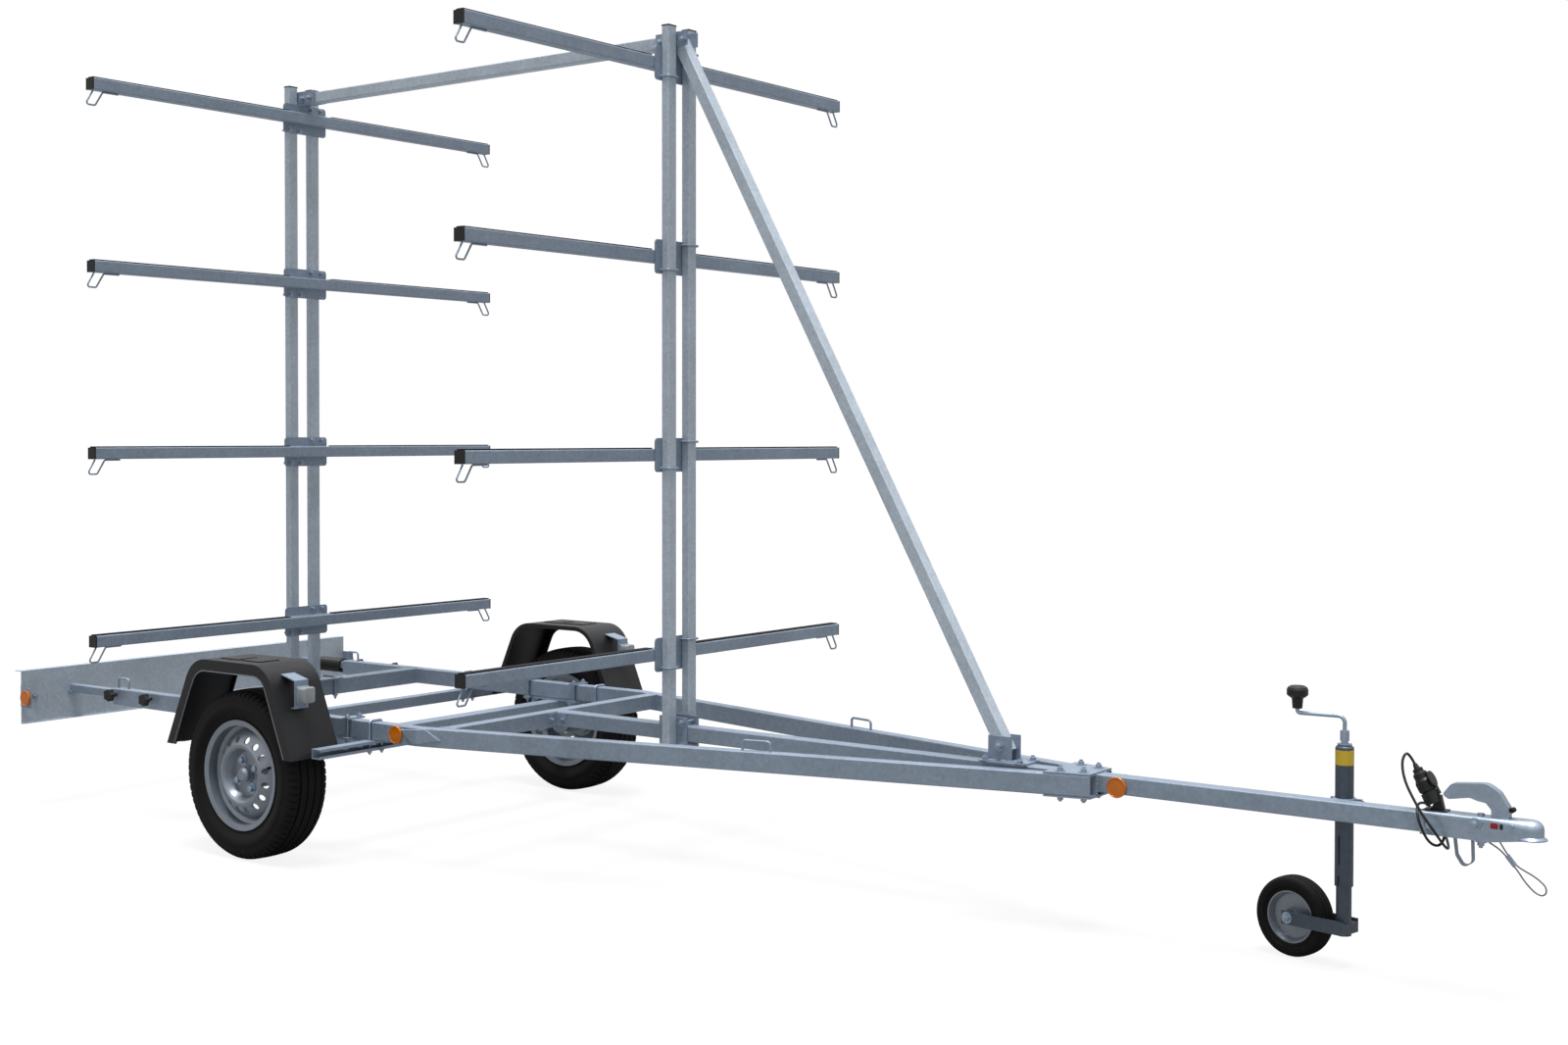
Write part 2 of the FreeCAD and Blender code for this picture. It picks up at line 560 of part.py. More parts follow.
def road_wheel(name, side):
    y = f"{side} * track / 2"
    node(f"tyre_{name}", turned(tyre("tyre_r", "tyre_w", "bead_r", "(rim_w / 2 - 3.5)",
                                     "tyre_wall", "tyre_tread"), "0", y, "wheel_z"))
    lip = "rim_w / 2"
    out = f"{side} *"
    barrel = [("bead_r - 0.3", f"{lip} - 3"), ("rim_lip_r", f"{lip} + 1"),
              ("rim_lip_r", f"{lip} + rim_tee + 1"), ("bead_r - 5", f"{lip} + 1"),
              ("bead_r - 6", "30"), ("bead_r - 22", "20"), ("bead_r - 22", "-22"),
              ("bead_r - 6", "-32"), ("bead_r - 5", f"-{lip} - 1"),
              ("rim_lip_r", f"-{lip} - rim_tee - 1"), ("rim_lip_r", f"-{lip} - 1"),
              ("bead_r - 0.3", f"-{lip} + 3"), ("bead_r - 0.3", "-30"),
              ("bead_r - 17", "-20"), ("bead_r - 17", "18"), ("bead_r - 0.3", "28")]
    disc = [("bead_r - 21", f"{out} 2"), ("bead_r - 21", f"{out} 24"),
            ("bead_r - 27", f"{out} 36"), ("bowl_r + 25", f"{out} 54"),
            ("bowl_r + 6", f"{out} bowl_out"), ("bowl_r - 3", f"{out} bowl_out"),
            ("bowl_r - 9", f"{out} (bowl_out - 6)"), ("bowl_r - 22", f"{out} (seat_out + rim_tee)"),
            ("30", f"{out} (seat_out + rim_tee)"), ("30", f"{out} seat_out"),
            ("bowl_r - 19", f"{out} seat_out"), ("bowl_r - 5", f"{out} (bowl_out - 10)"),
            ("bowl_r + 4", f"{out} (bowl_out - rim_tee)"), ("bowl_r + 22", f"{out} 50"),
            ("bead_r - 31", f"{out} 33"), ("bead_r - 25", f"{out} 22"), ("bead_r - 25", f"{out} 2")]
    ring = turned(barrel, "0", y, "wheel_z")
    face = turned(disc, "0", y, "wheel_z")
    holes = [hand_hole(side, turn) for turn in range(HAND_HOLES)]
    holes += [bolt_hole(side, turn) for turn in range(WHEEL_BOLTS)]
    pierced = cut(face, *holes)
    node(f"rim_{name}", fuse(ring, pierced))
    start = f"({HUB_Y} - track / 2)"
    flange = "(seat_out - 0.3)"
    hub = [("hub_bore", f"{out} {start}"), ("hub_r - 14", f"{out} {start}"),
           ("hub_r - 14", f"{out} ({flange} - 9)"), ("hub_r", f"{out} ({flange} - 9)"),
           ("hub_r", f"{out} {flange}"), ("29.7", f"{out} {flange}"),
           ("29.7", f"{out} ({flange} + 9)"), ("24", f"{out} ({flange} + 9)"),
           ("24", f"{out} ({flange} + 24)"), ("17", f"{out} ({flange} + 32)"),
           ("0.01", f"{out} ({flange} + 33)"), ("0.01", f"{out} 12"), ("hub_bore", f"{out} 12")]
    bolts = [wheel_bolt(side, turn) for turn in range(WHEEL_BOLTS)]
    node(f"hub_{name}", fuse(turned(hub, "0", y, "wheel_z"), *bolts))


road_wheel("right", "-1")
road_wheel("left", "1")

# Posts and braces

POST_GAP = "(drawbar_w / 2 + clamp_tee)"
POST_Y = f"({POST_GAP} + post_y / 2)"


def post(x, foot, side):
    return tube("z", "post_x", "post_y", "post_wall", f"post_top - {foot}", x,
                f"{side} * {POST_Y}", foot)


node("posts", *[post("-rear_post_x", "(deck_z + clamp_tee)", side) for side in ("-1", "1")],
     *[post("front_post_x", "front_post_foot", side) for side in ("-1", "1")])


def crossbeam_bolt(y):
    """U-bolt over the base plate and round the rear crossbeam."""
    half = size("rear_beam_w") / 2 + size("bolt_r")
    mid = -size("rear_beam_x")
    top = size("deck_z") + size("clamp_tee") + size("bolt_r")
    low = size("deck_z") - size("rail_h") - 16
    path = [(mid - half, y, low), (mid - half, y, top), (mid + half, y, top),
            (mid + half, y, low)]
    return shaped(bent_rod(path, 6, size("bolt_r")))


base = box("-rear_beam_x - base_w / 2 + 4", "-base_len / 2", "deck_z", "base_w - 8", "base_len",
           "clamp_tee")
base_holes = [rod(f"-rear_beam_x + {side} * (rear_beam_w / 2 + bolt_r)", f"{y}", "deck_z - 1",
                  "bolt_r + 0.3", "clamp_tee + 2") for side in ("-1", "1") for y in (-105, 105)]
node("rear_post_base", cut(base, *base_holes), crossbeam_bolt(-105), crossbeam_bolt(105))


def drawbar_clamp():
    """Two plates beside the drawbar, bolted together over and under it."""
    plates = [box("front_post_x - clamp_len / 2", f"{side} * (drawbar_w + clamp_tee) / 2 - "
                  "clamp_tee / 2", "deck_z + 28 - clamp_h", "clamp_len", "clamp_tee", "clamp_h")
              for side in ("-1", "1")]
    bolts = [rod(f"front_post_x + {dx}", f"-{POST_GAP} - 8", z, "5", f"2 * {POST_GAP} + 16", "y")
             for dx in ("38", "-38") for z in ("deck_z + 12", "deck_z - drawbar_w - 12")]
    return fuse(*plates, *bolts)


node("front_post_clamp", drawbar_clamp())

TOP_BRACE_Z = "(post_top - top_brace_drop)"
BRACE_TOP_Z = "(post_top - brace_top_drop)"
TOP_END = "(front_post_x - post_x / 2 - 15)"
top_brace = tube("x", "brace_y", "brace_h", "brace_wall",
                 f"{TOP_END} + rear_post_x + post_x / 2", "-rear_post_x - post_x / 2", "0",
                 TOP_BRACE_Z)
node("top_brace", top_brace)

BRACE_RISE = f"({BRACE_TOP_Z} - brace_foot_z)"
LEAN = f"atan((brace_foot_x - brace_top_x) / {BRACE_RISE})"
RUN = ("sqrt((brace_foot_x - brace_top_x) * (brace_foot_x - brace_top_x) + "
       f"{BRACE_RISE} * {BRACE_RISE})")
diagonal = tube("z", "brace_h", "brace_y", "brace_wall", f"{RUN} + 46", "0", "0", "0")
diagonal.Placement = Placement(Vector(), Rotation(Vector(0, -1, 0), 30))
bind(diagonal, "Placement.Rotation.Angle", LEAN)
bind(diagonal, "Placement.Base.x", f"brace_foot_x + 23 * sin({LEAN})")
bind(diagonal, "Placement.Base.z", f"brace_foot_z - 23 * cos({LEAN})")
node("diagonal_brace", diagonal)


def top_plates(x, length):
    return [box(x, f"{side} * (brace_y + clamp_tee) / 2 - clamp_tee / 2",
                f"{TOP_BRACE_Z} - brace_h / 2 + 1", length, "clamp_tee", "brace_h + 6")
            for side in ("-1", "1")]


node("brace_top_plates", *top_plates("front_post_x - 75", "130"),
     *top_plates("-rear_post_x - post_x / 2", "120"))

FOOT_X = "(brace_foot_x + 15)"
foot_plate = box(f"{FOOT_X} - foot_len / 2", "-foot_w / 2", "deck_z", "foot_len", "foot_w",
                 "clamp_tee")
cheeks = [box("brace_foot_x - 38", f"{side} * (brace_y + clamp_tee) / 2 - clamp_tee / 2",
              "deck_z + clamp_tee", "76", "clamp_tee", "brace_foot_z - deck_z + 22")
          for side in ("-1", "1")]
node("brace_foot", fuse(foot_plate, *cheeks))

# Cross arms

LEVELS = ("level_1", "level_2", "level_3", "level_4")
REAR_ARM = "(-rear_post_x + post_x / 2 + arm_plate_tee + arm_box / 2)"
FRONT_ARM = "(front_post_x - post_x / 2 - arm_plate_tee - arm_box / 2)"


def arms(x):
    return [tube("y", "arm_box", "arm_box", "arm_wall", "2 * arm_reach - 2 * cap_tee", x,
                 "-arm_reach + cap_tee", f"{level} - arm_box / 2") for level in LEVELS]


node("cross_arms", *arms(REAR_ARM), *arms(FRONT_ARM))


def post_bolt(post_mid, facing, side, z):
    """U-bolt round one post; facing is +1 where the arm is ahead of the post."""
    half = size("post_y") / 2 + size("bolt_r")
    y = side * (size("drawbar_w") / 2 + size("clamp_tee") + size("post_y") / 2)
    crown = post_mid - facing * (size("post_x") / 2 + size("bolt_r"))
    ends = post_mid + facing * (size("post_x") / 2 + size("arm_plate_tee") + 12)
    path = [(ends, y - half, z), (crown, y - half, z), (crown, y + half, z), (ends, y + half, z)]
    return bent_rod(path, 6, size("bolt_r"))


def arm_clamp(level, post_mid, facing):
    """Plate between arm and posts, with a U-bolt low on one post and high on the other."""
    middle = size(level) - size("arm_box") / 2
    up = size("arm_plate_h") / 2 - 12
    near = post_mid + facing * size("post_x") / 2
    plate = Part.makeBox(size("arm_plate_tee"), size("arm_plate_y"), size("arm_plate_h"),
                         Vector(min(near, near + facing * size("arm_plate_tee")),
                                -size("arm_plate_y") / 2, middle - size("arm_plate_h") / 2))
    corners = [e for e in plate.Edges
               if abs(e.tangentAt(0).x) > 0.99]
    plate = plate.makeFillet(12, corners)
    bolts = [post_bolt(post_mid, facing, -1, middle - up), post_bolt(post_mid, facing, 1,
                                                                      middle + up)]
    return shaped(plate.fuse(bolts))


node("arm_clamps", *[arm_clamp(level, post_mid, facing) for level in LEVELS
                     for post_mid, facing in ((-size("rear_post_x"), 1),
                                              (size("front_post_x"), -1))])

strips = []
for arm_x in (REAR_ARM, FRONT_ARM):
    for level in LEVELS:
        for low in ("-arm_reach + cap_tee", "arm_plate_y / 2 + 4"):
            strips.append(box(f"{arm_x} - strip_w / 2", low, level, "strip_w",
                              "arm_reach - cap_tee - arm_plate_y / 2 - 4", "strip_h"))
node("arm_strips", *strips)


def arm_cap(x, side, level):
    inner = "(arm_box - 2 * arm_wall - 2 * cap_play)"
    flat = box(f"{x} - arm_box / 2", f"{side} * (arm_reach - cap_tee / 2) - cap_tee / 2",
               f"{level} - arm_box", "arm_box", "cap_tee", "arm_box")
    plug = box(f"{x} - {inner} / 2",
               f"{side} * (arm_reach - cap_tee - cap_plug / 2) - cap_plug / 2",
               f"{level} - arm_box / 2 - {inner} / 2", inner, "cap_plug", inner)
    return fuse(flat, plug)


def post_cap(x, side):
    y = f"{side} * {POST_Y}"
    flat = box(f"{x} - post_x / 2", f"{y} - post_y / 2", "post_top", "post_x", "post_y",
               "cap_tee")
    wall = "(2 * post_wall + 2 * cap_play)"
    plug = box(f"{x} - (post_x - {wall}) / 2", f"{y} - (post_y - {wall}) / 2",
               "post_top - cap_plug", f"post_x - {wall}", f"post_y - {wall}", "cap_plug")
    return fuse(flat, plug)


caps = [arm_cap(x, side, level) for x in (REAR_ARM, FRONT_ARM) for side in ("-1", "1")
        for level in LEVELS]
caps += [post_cap(x, side) for x in ("-rear_post_x", "front_post_x") for side in ("-1", "1")]
node("tube_caps", *caps)


def lashing_loop(x, side, level):
    """Bent rod under the end of an arm, leaning outwards, with its tail along the arm."""
    radius, lean, width = size("loop_r"), size("loop_lean"), size("loop_w")
    under = size(level) - size("arm_box") - size("loop_gap")
    top = under - radius
    end = size("arm_reach") - 14
    low = top - size("loop_drop")
    start = under - radius * lean / math.hypot(lean, size("loop_drop"))
    path = [(end, start), (end + lean, low), (end + lean - width, low),
            (end - width, top), (end - width - size("loop_tail"), top)]
    points = [(x, side * y, z) for y, z in path]
    return shaped(bent_rod(points, 8, size("loop_r")))


rear_x = -size("rear_post_x") + size("post_x") / 2 + size("arm_plate_tee") + size("arm_box") / 2
front_x = size("front_post_x") - size("post_x") / 2 - size("arm_plate_tee") - size("arm_box") / 2
node("lashing_loops", *[lashing_loop(x, side, level) for x in (rear_x, front_x)
                        for side in (-1, 1) for level in LEVELS])

# Mudguards and front lamps


def guard_outline(inset, low):
    """Side outline of the mudguard, drawn in by an inset, as height and length."""
    return [(low, f"-guard_back + {inset}"), (f"guard_top - {inset}",
                                             f"-guard_back_top + {inset} * 0.6"),
            (f"guard_top - {inset}", f"guard_front_top - {inset} * 0.6"),
            (low, f"guard_front - {inset}")]


def guard_prism(inset, low, start, width):
    body = new_body()
    sketch = sketch_in(body)
    polygon(sketch, guard_outline(inset, low))
    sweep = pad(body, sketch, width)
    place(body, "0", start, "0", ALONG["y"])
    doc.recompute()
    top = size("guard_top")
    edges = [f"Edge{i + 1}" for i, e in enumerate(sweep.Shape.Edges)
             if abs(e.tangentAt(e.FirstParameter).z) > 0.99 and e.CenterOfMass.x > top - 150]
    bend = body.newObject("PartDesign::Fillet", "bend")
    bend.Base = (sweep, edges)
    bind(bend, "Radius", f"guard_bend - {inset}")
    return body


# Raised pads on the crown of the mudguard: back edge and length
PADS = (("-128", "88"), ("-22", "96"))


def mudguard(side):
    start = f"{side} * (guard_y + guard_w / 2) - guard_w / 2"
    shell = guard_prism("0", "guard_low", start, "guard_w")
    inside = guard_prism("guard_tee", "guard_low - 20", f"{start} + guard_tee",
                         "guard_w - 2 * guard_tee")
    outer = guard_prism("guard_lip", "guard_low - 20",
                        f"{side} * (guard_y + guard_w - guard_tee / 2) - guard_tee",
                        "2 * guard_tee")
    inner = guard_prism("guard_inner_lip", "guard_low - 20",
                        f"{side} * (guard_y + guard_tee / 2) - guard_tee", "2 * guard_tee")
    pads = [box(x, f"{side} * (guard_y + guard_w * 0.55) - 40", "guard_top - 2", length, "80",
                "guard_pad + 2") for x, length in PADS]
    return fuse(cut(shell, inside, outer, inner), *pads)


node("mudguard_right", mudguard("-1"))
node("mudguard_left", mudguard("1"))

LAMP_Y = "(guard_y + guard_w / 2 + 18)"


def lamp_bracket(side):
    y = f"{side} * {LAMP_Y} - 27"
    return prism("y", [("515", "238"), ("600", "238"), ("616", "173"), ("620", "173"),
                       ("603", "242"), ("512", "242"), ("512", "224"), ("515", "223")],
                 "54", y=y)


def position_lamp(side):
    y = f"{side} * {LAMP_Y} - 24"
    return prism("y", [("530", "242"), ("530", "272"), ("536", "284"), ("578", "284"),
                       ("584", "272"), ("584", "242")], "48", y=y)


node("lamp_brackets", lamp_bracket("-1"), lamp_bracket("1"))
node("position_lamps", position_lamp("-1"), position_lamp("1"))


def hoop(x, y, turn, width, tall, radius):
    """Rod hoop standing on a rail, turned to follow it."""
    z = size("deck_z")
    along = Vector(math.cos(turn), math.sin(turn), 0)
    feet = [Vector(x, y, z) + along * (width / 2 * s) for s in (-1, 1)]
    path = [feet[0], feet[0] + Vector(0, 0, tall), feet[1] + Vector(0, 0, tall), feet[1]]
    return shaped(bent_rod([tuple(p) for p in path], 11, radius))


v_angle = math.atan((size("rail_y") - size("rail_w") / 2 - size("drawbar_w") / 2
                     - size("rail_gap")) / (size("junction_x") - size("bend_x")))
hoop_x = 1695
hoop_y = size("rail_y") - (hoop_x - size("bend_x")) * math.tan(v_angle)
node("lashing_hoops",
     hoop(-1045, -size("rail_y"), 0, 62, 36, 4), hoop(-1045, size("rail_y"), 0, 62, 36, 4),
     hoop(hoop_x, -hoop_y, v_angle, 90, 30, 4), hoop(hoop_x, hoop_y, -v_angle, 90, 30, 4))

reflectors = []
for side in ("-1", "1"):
    for x, face in (("451", "rail_y + rail_w / 2"), ("2752", "drawbar_w / 2")):
        reflectors.append(rod(x, f"{side} * ({face} + 4) - 4", "deck_z - 30", "29", "8", "y"))
node("side_reflectors", *reflectors)


LOBES = 5


def knob(x, side):
    """Star knob and its clamping screw through the outer wall of the rail."""
    reach = "(rail_w / 2 - carrier_box / 2 - 0.3)"
    screw = rod(f"-{x}", f"{side} * (rail_y + carrier_box / 2 + 0.3 + ({reach} + 22) / 2) - "
                f"({reach} + 22) / 2", "carrier_z", "5", f"{reach} + 22", "y")
    start = f"{side} * (rail_y + rail_w / 2 + 30) - 10"
    grip = rod(f"-{x}", start, "carrier_z", "star_r - lobe_r / 2", "20", "y")
    lobes = [rod(f"-{x} + (star_r - lobe_r) * cos({360 / LOBES * turn})", start,
                 f"carrier_z + (star_r - lobe_r) * sin({360 / LOBES * turn})", "lobe_r", "20", "y")
             for turn in range(LOBES)]
    return fuse(screw, grip, *lobes)


node("rail_knobs", *[knob(x, side) for x in KNOBS for side in ("-1", "1")])

# Light board

panel = [("board_low", "-board_x + board_lip"), ("board_low + board_tee", "-board_x + board_lip"),
         ("board_low + board_tee", "-board_x"), ("board_top", "-board_x"),
         ("board_top", "-board_x - board_flange"),
         ("board_top - board_tee", "-board_x - board_flange"),
         ("board_top - board_tee", "-board_x - board_tee"),
         ("board_low", "-board_x - board_tee")]
node("board_panel", prism("y", panel, "2 * board_y", y="-board_y"))

carriers = []
for side in ("-1", "1"):
    carriers.append(tube("x", "carrier_box", "carrier_box", "carrier_wall",
                         "board_x - carrier_in", "-board_x", f"{side} * rail_y", "carrier_z"))
node("board_carriers", *carriers)


def rear_lamp(side):
    """Lamp with rounded corners, its lens drawn in at the edges."""
    deep, wide, tall = size("lamp_deep"), size("lamp_len"), size("lamp_h")
    back = -size("board_x") - size("board_tee") - deep
    y = side * (size("board_y") - size("lamp_inset") - wide / 2) - wide / 2
    low = (size("board_low") + size("board_top") - tall) / 2
    body = Part.makeBox(deep, wide, tall, Vector(back, y, low))
    corners = [e for e in body.Edges if abs(e.tangentAt(0).x) > 0.99]
    body = body.makeFillet(size("lamp_round"), corners)
    rim = [e for e in body.Edges if e.BoundBox.XMax < back + 0.01]
    return shaped(body.makeFillet(size("lamp_round") / 2, rim))


node("rear_lamps", rear_lamp(-1), rear_lamp(1))

ends = []
for side in ("-1", "1"):
    ear = box("-board_x", f"{side} * (board_y - 1.5) - 1.5", "board_low + 62", "62", "3", "72")
    disc = rod("-board_x + 30", f"{side} * (board_y + 3.5) - 3.5", "board_low + 98", "30", "7",
               "y")
    ends.append(fuse(ear, disc))
node("board_reflectors", *ends)

# Coupling


def arch(x, half, low, top, shoulder):
    """Outline across the coupling: upright sides and rounded shoulders."""
    inset = shoulder * (1 - math.sqrt(0.5))
    left = [Vector(x, -half, low), Vector(x, -half, top - shoulder),
            Vector(x, inset - half, top - inset), Vector(x, shoulder - half, top)]
    right = [Vector(p.x, -p.y, p.z) for p in left]
    lines = ((left[0], left[1]), (left[3], right[3]), (right[1], right[0]), (right[0], left[0]))
    edges = [Part.LineSegment(*ends).toShape() for ends in lines]
    edges.insert(1, Part.Arc(*left[1:]).toShape())
    edges.insert(3, Part.Arc(*right[:0:-1]).toShape())
    return Part.Wire(edges)


def coupling_shell():
    """Pressed shell over the drawbar's end, with the domed cup for the ball at its nose."""
    wall, play, deck = size("shell_wall"), size("shell_play"), size("deck_z")
    inside = size("drawbar_w") / 2 + play
    half = inside + wall
    ball, ball_z = size("ball_x"), size("ball_z")
    cup = size("ball_r") + size("ball_play")
    top, back, waist = ball_z + cup + wall, size("shell_back"), size("shell_waist")
    low, lip_z = deck - size("drawbar_w") - wall, ball_z - 19
    outlines = [arch(back, half, low, deck + play + wall, size("shell_round")),
                arch(waist, half, low, deck + play + wall, size("shell_round")),
                arch(ball, half + 1, lip_z, top, size("nose_round"))]
    hull = Part.makeLoft(outlines, True, True)
    shoulder = size("nose_round")
    inset = shoulder * (1 - math.sqrt(0.5))
    rim = ball + half + 1
    side = [Vector(ball, 0, lip_z), Vector(rim, 0, lip_z), Vector(rim, 0, top - shoulder),
            Vector(rim - inset, 0, top - inset), Vector(rim - shoulder, 0, top),
            Vector(ball, 0, top)]
    edges = [Part.LineSegment(side[i], side[i + 1]).toShape() for i in (0, 1, 4)]
    edges.insert(2, Part.Arc(*side[2:5]).toShape())
    edges.append(Part.LineSegment(side[5], side[0]).toShape())
    dome = Part.Face(Part.Wire(edges)).revolve(side[0], Vector(0, 0, 1), 360)
    lip = Part.makeCylinder(size("nose_reach") - ball, 3, side[0])
    flare = Part.makeCone(half + 6, half + 0.5, 6, Vector(ball, 0, lip_z + 2.9))
    solid = hull.fuse([dome, lip, flare])
    hollow = Part.makeBox(ball - cup - back - 2, 2 * inside, 100,
                          Vector(back - 1, -inside, deck + play - 100))
    seat = Part.makeSphere(cup, Vector(ball, 0, ball_z))
    throat = Part.makeCylinder(cup, 60, Vector(ball, 0, ball_z - 60))
    slot_w = size("lever_w") + 2 * play
    jaw_room = Part.makeBox(20, slot_w, 100, Vector(ball - 38, -slot_w / 2, ball_z - 92))
    slot = Part.makeBox(LEVER_NECK + 2 * play, slot_w, 40,
                        Vector(size("pivot_x") + NECK_BACK - play, -slot_w / 2, deck - 10))
    panels = [pressed_panel(side, half) for side in (-1, 1)]
    return solid.cut([hollow, jaw_room, seat, throat, slot, *panels])


def pressed_panel(side, half):
    """Shallow recess along the side of the coupling, slanted at its back."""
    back, deep = size("shell_back") + 34, size("panel_deep")
    low, high = size("deck_z") - 38, size("deck_z") - 8
    corners = [(back + 12, low), (size("shell_waist") + 4, low), (size("shell_waist") - 8, high),
               (back, high)]
    middle = (corners[0][0] + corners[1][0]) / 2
    wire = rounded_path([Vector(middle, 0, low)] + [Vector(x, 0, z) for x, z in corners[1:]]
                        + [Vector(*(corners[0][0], 0, low)), Vector(middle, 0, low)], 5)
    tool = Part.Face(wire).extrude(Vector(0, side * (deep + 1), 0))
    tool.translate(Vector(0, side * (half - deep), 0))
    return tool


# Lever corners from its pivot, each with its rounding
LEVER = [((-173, 57), 7), ((-150, 87), 16), ((-64, 95), 36), ((-34, 76), 22), ((-11, 40), 12),
         ((-11, 7.5), 2), ((10, 7.5), 5), ((10, -9), 5), ((-24, -9), 5), ((-53, 10), 4),
         ((-53, 32), 10), ((-66, 47), 6), ((-86, 50), 12), ((-105, 56), 20), ((-157, 47), 12)]
NECK_BACK, LEVER_NECK = -53, 43


def closed_wire(corners):
    """A closed outline beside the middle plane, with a rounding at each corner."""
    ring = [Vector(size("pivot_x") + x, 0, size("pivot_z") + z) for (x, z), _ in corners]
    start = (ring[0] + ring[-1]) / 2
    return rounded_path([start, *ring, start], [r for _, r in corners])


def coupling_lever():
    """Pressed lever, open underneath, whose cheeks hold the jaw behind the ball."""
    width, wall = size("lever_w"), size("lever_wall")
    solid = Part.Face(closed_wire(LEVER)).extrude(Vector(0, width, 0))
    solid.translate(Vector(0, -width / 2, 0))
    hollow = Part.Face(closed_wire(LEVER)).extrude(Vector(0, width - 2 * wall, 0))
    hollow.translate(Vector(-wall * 0.8, wall - width / 2, -wall))
    below = hollow.copy()
    below.translate(Vector(-wall * 2, 0, -wall * 3))
    pin_x, pin_z = size("pivot_x"), size("pivot_z")
    jaw = Part.makeBox(26, width, 21, Vector(pin_x - 8, -width / 2, size("ball_z") - 16))
    ball = Part.makeSphere(size("ball_r") + size("ball_play"),
                           Vector(size("ball_x"), 0, size("ball_z")))
    bore = Part.makeCylinder(size("pivot_r") + size("shell_play"), width + 4,
                             Vector(pin_x, -width / 2 - 2, pin_z), Vector(0, 1, 0))
    rivet = Part.makeCylinder(5, width + 6, Vector(pin_x - 36, -width / 2 - 3, pin_z + 28),
                              Vector(0, 1, 0))
    return solid.cut([hollow, below]).fuse(jaw).cut([ball, bore]).fuse(rivet)


def coupling_fixings():
    """Pivot pin, the bolt through the drawbar's end, its cross plate and the rope's pin."""
    wall, play = size("shell_wall"), size("shell_play")
    inside = size("drawbar_w") / 2 + play
    reach = inside + wall + 5
    across, up = Vector(0, 1, 0), Vector(0, 0, 1)
    anchor, radius = size("anchor_x"), size("anchor_r")
    low = size("deck_z") - size("drawbar_w") - wall
    pin = Part.makeCylinder(size("pivot_r"), 2 * reach,
                            Vector(size("pivot_x"), -reach, size("pivot_z")), across)
    plate = Part.makeBox(26, 2 * inside + 2, 8, Vector(anchor - 6, -inside - 1, low - 4))
    bolt = Part.makeCylinder(radius, size("drawbar_w") + 2 * wall + 24,
                             Vector(anchor, 0, low - 22), up)
    head = Part.makeCylinder(radius + 3.5, 6, Vector(anchor, 0, size("deck_z") + wall), up)
    nut = Part.makeCylinder(radius + 3.5, 12, Vector(anchor, 0, low - 16), up)
    rope_pin = Part.makeCylinder(4, 2 * inside + 2, Vector(anchor + 39, -inside - 1, low + 16),
                                 across)
    return [pin, plate, bolt, head, nut, rope_pin]


node("coupling", shaped(coupling_shell().fuse(coupling_fixings())))
node("coupling_handle", shaped(coupling_lever()))

# Plug, leads and rope

lean = math.radians(size("plug_lean"))
plug_up = Vector(-math.sin(lean), 0, math.cos(lean))
plug_out = Vector(math.cos(lean), 0, math.sin(lean))
plug_foot = Vector(size("plug_x"), 0, size("plug_z"))


def on_plug(along, outwards):
    """Point beside the parked plug: along its axis and outwards from it, to the front."""
    return plug_foot + plug_up * along + plug_out * outwards


def turned_on_plug(profile):
    """A solid turned about the plug's axis from radius and height."""
    corners = [on_plug(height, radius) for radius, height in profile]
    face = Part.Face(Part.makePolygon(corners + corners[:1]))
    return face.revolve(plug_foot, plug_up, 360)


def slab(corners, width):
    """A plate of one width about the middle plane."""
    piece = Part.Face(Part.makePolygon(corners + corners[:1])).extrude(Vector(0, width, 0))
    piece.translate(Vector(0, -width / 2, 0))
    return piece


def plug_holder():
    """Open cup on a bracket, with the sprung flap lying against the plug."""
    nose = size("plug_nose_r") + size("shell_play")
    rim = nose + size("holder_wall")
    deep = size("holder_deep")
    cup = turned_on_plug([(0, 0), (rim, 0), (rim, deep), (nose, deep), (nose, 4), (0, 4)])
    seat = size("deck_z") + size("shell_play") + size("shell_wall")
    x = size("plug_x")
    plate = Part.makeBox(58, 36, 3, Vector(x - 24, -18, seat))
    web = slab([Vector(x - 10, 0, seat + 1), Vector(x + 24, 0, seat + 1),
                Vector(x + 24, 0, seat + 8), on_plug(12, rim + 3), on_plug(12, rim - 1.5),
                on_plug(2, rim - 1.5), on_plug(2, 3)], 16)
    beside = size("plug_r") + 1.2
    arm = slab([on_plug(16, rim - 1.5), on_plug(16, rim + 4), on_plug(deep + 14, rim + 4),
                on_plug(deep + 14, beside), on_plug(deep + 3, beside),
                on_plug(deep - 5, rim - 1.5)], 12)
    flap_at = on_plug(deep + 5 + size("flap_r"), size("plug_r") + size("shell_play"))
    flap = Part.makeCylinder(size("flap_r"), size("flap_tee"), flap_at, plug_out)
    return cup.fuse([plate, web, arm, flap])


def plug():
    top = size("plug_len")
    body, nose = size("plug_r"), size("plug_nose_r")
    return turned_on_plug([(0, 4.3), (nose, 4.3), (nose, 32), (body, 34), (body, 60),
                           (body - 3, 66), (body - 3, 80), (13, 84), (13, 93), (8, 94),
                           (5, top), (0, top)])


node("plug_holder", shaped(plug_holder()))
node("plug", shaped(plug()))
node("cable_grommet", rod("3640", "0", "deck_z - drawbar_w - 4", "8", "4"))

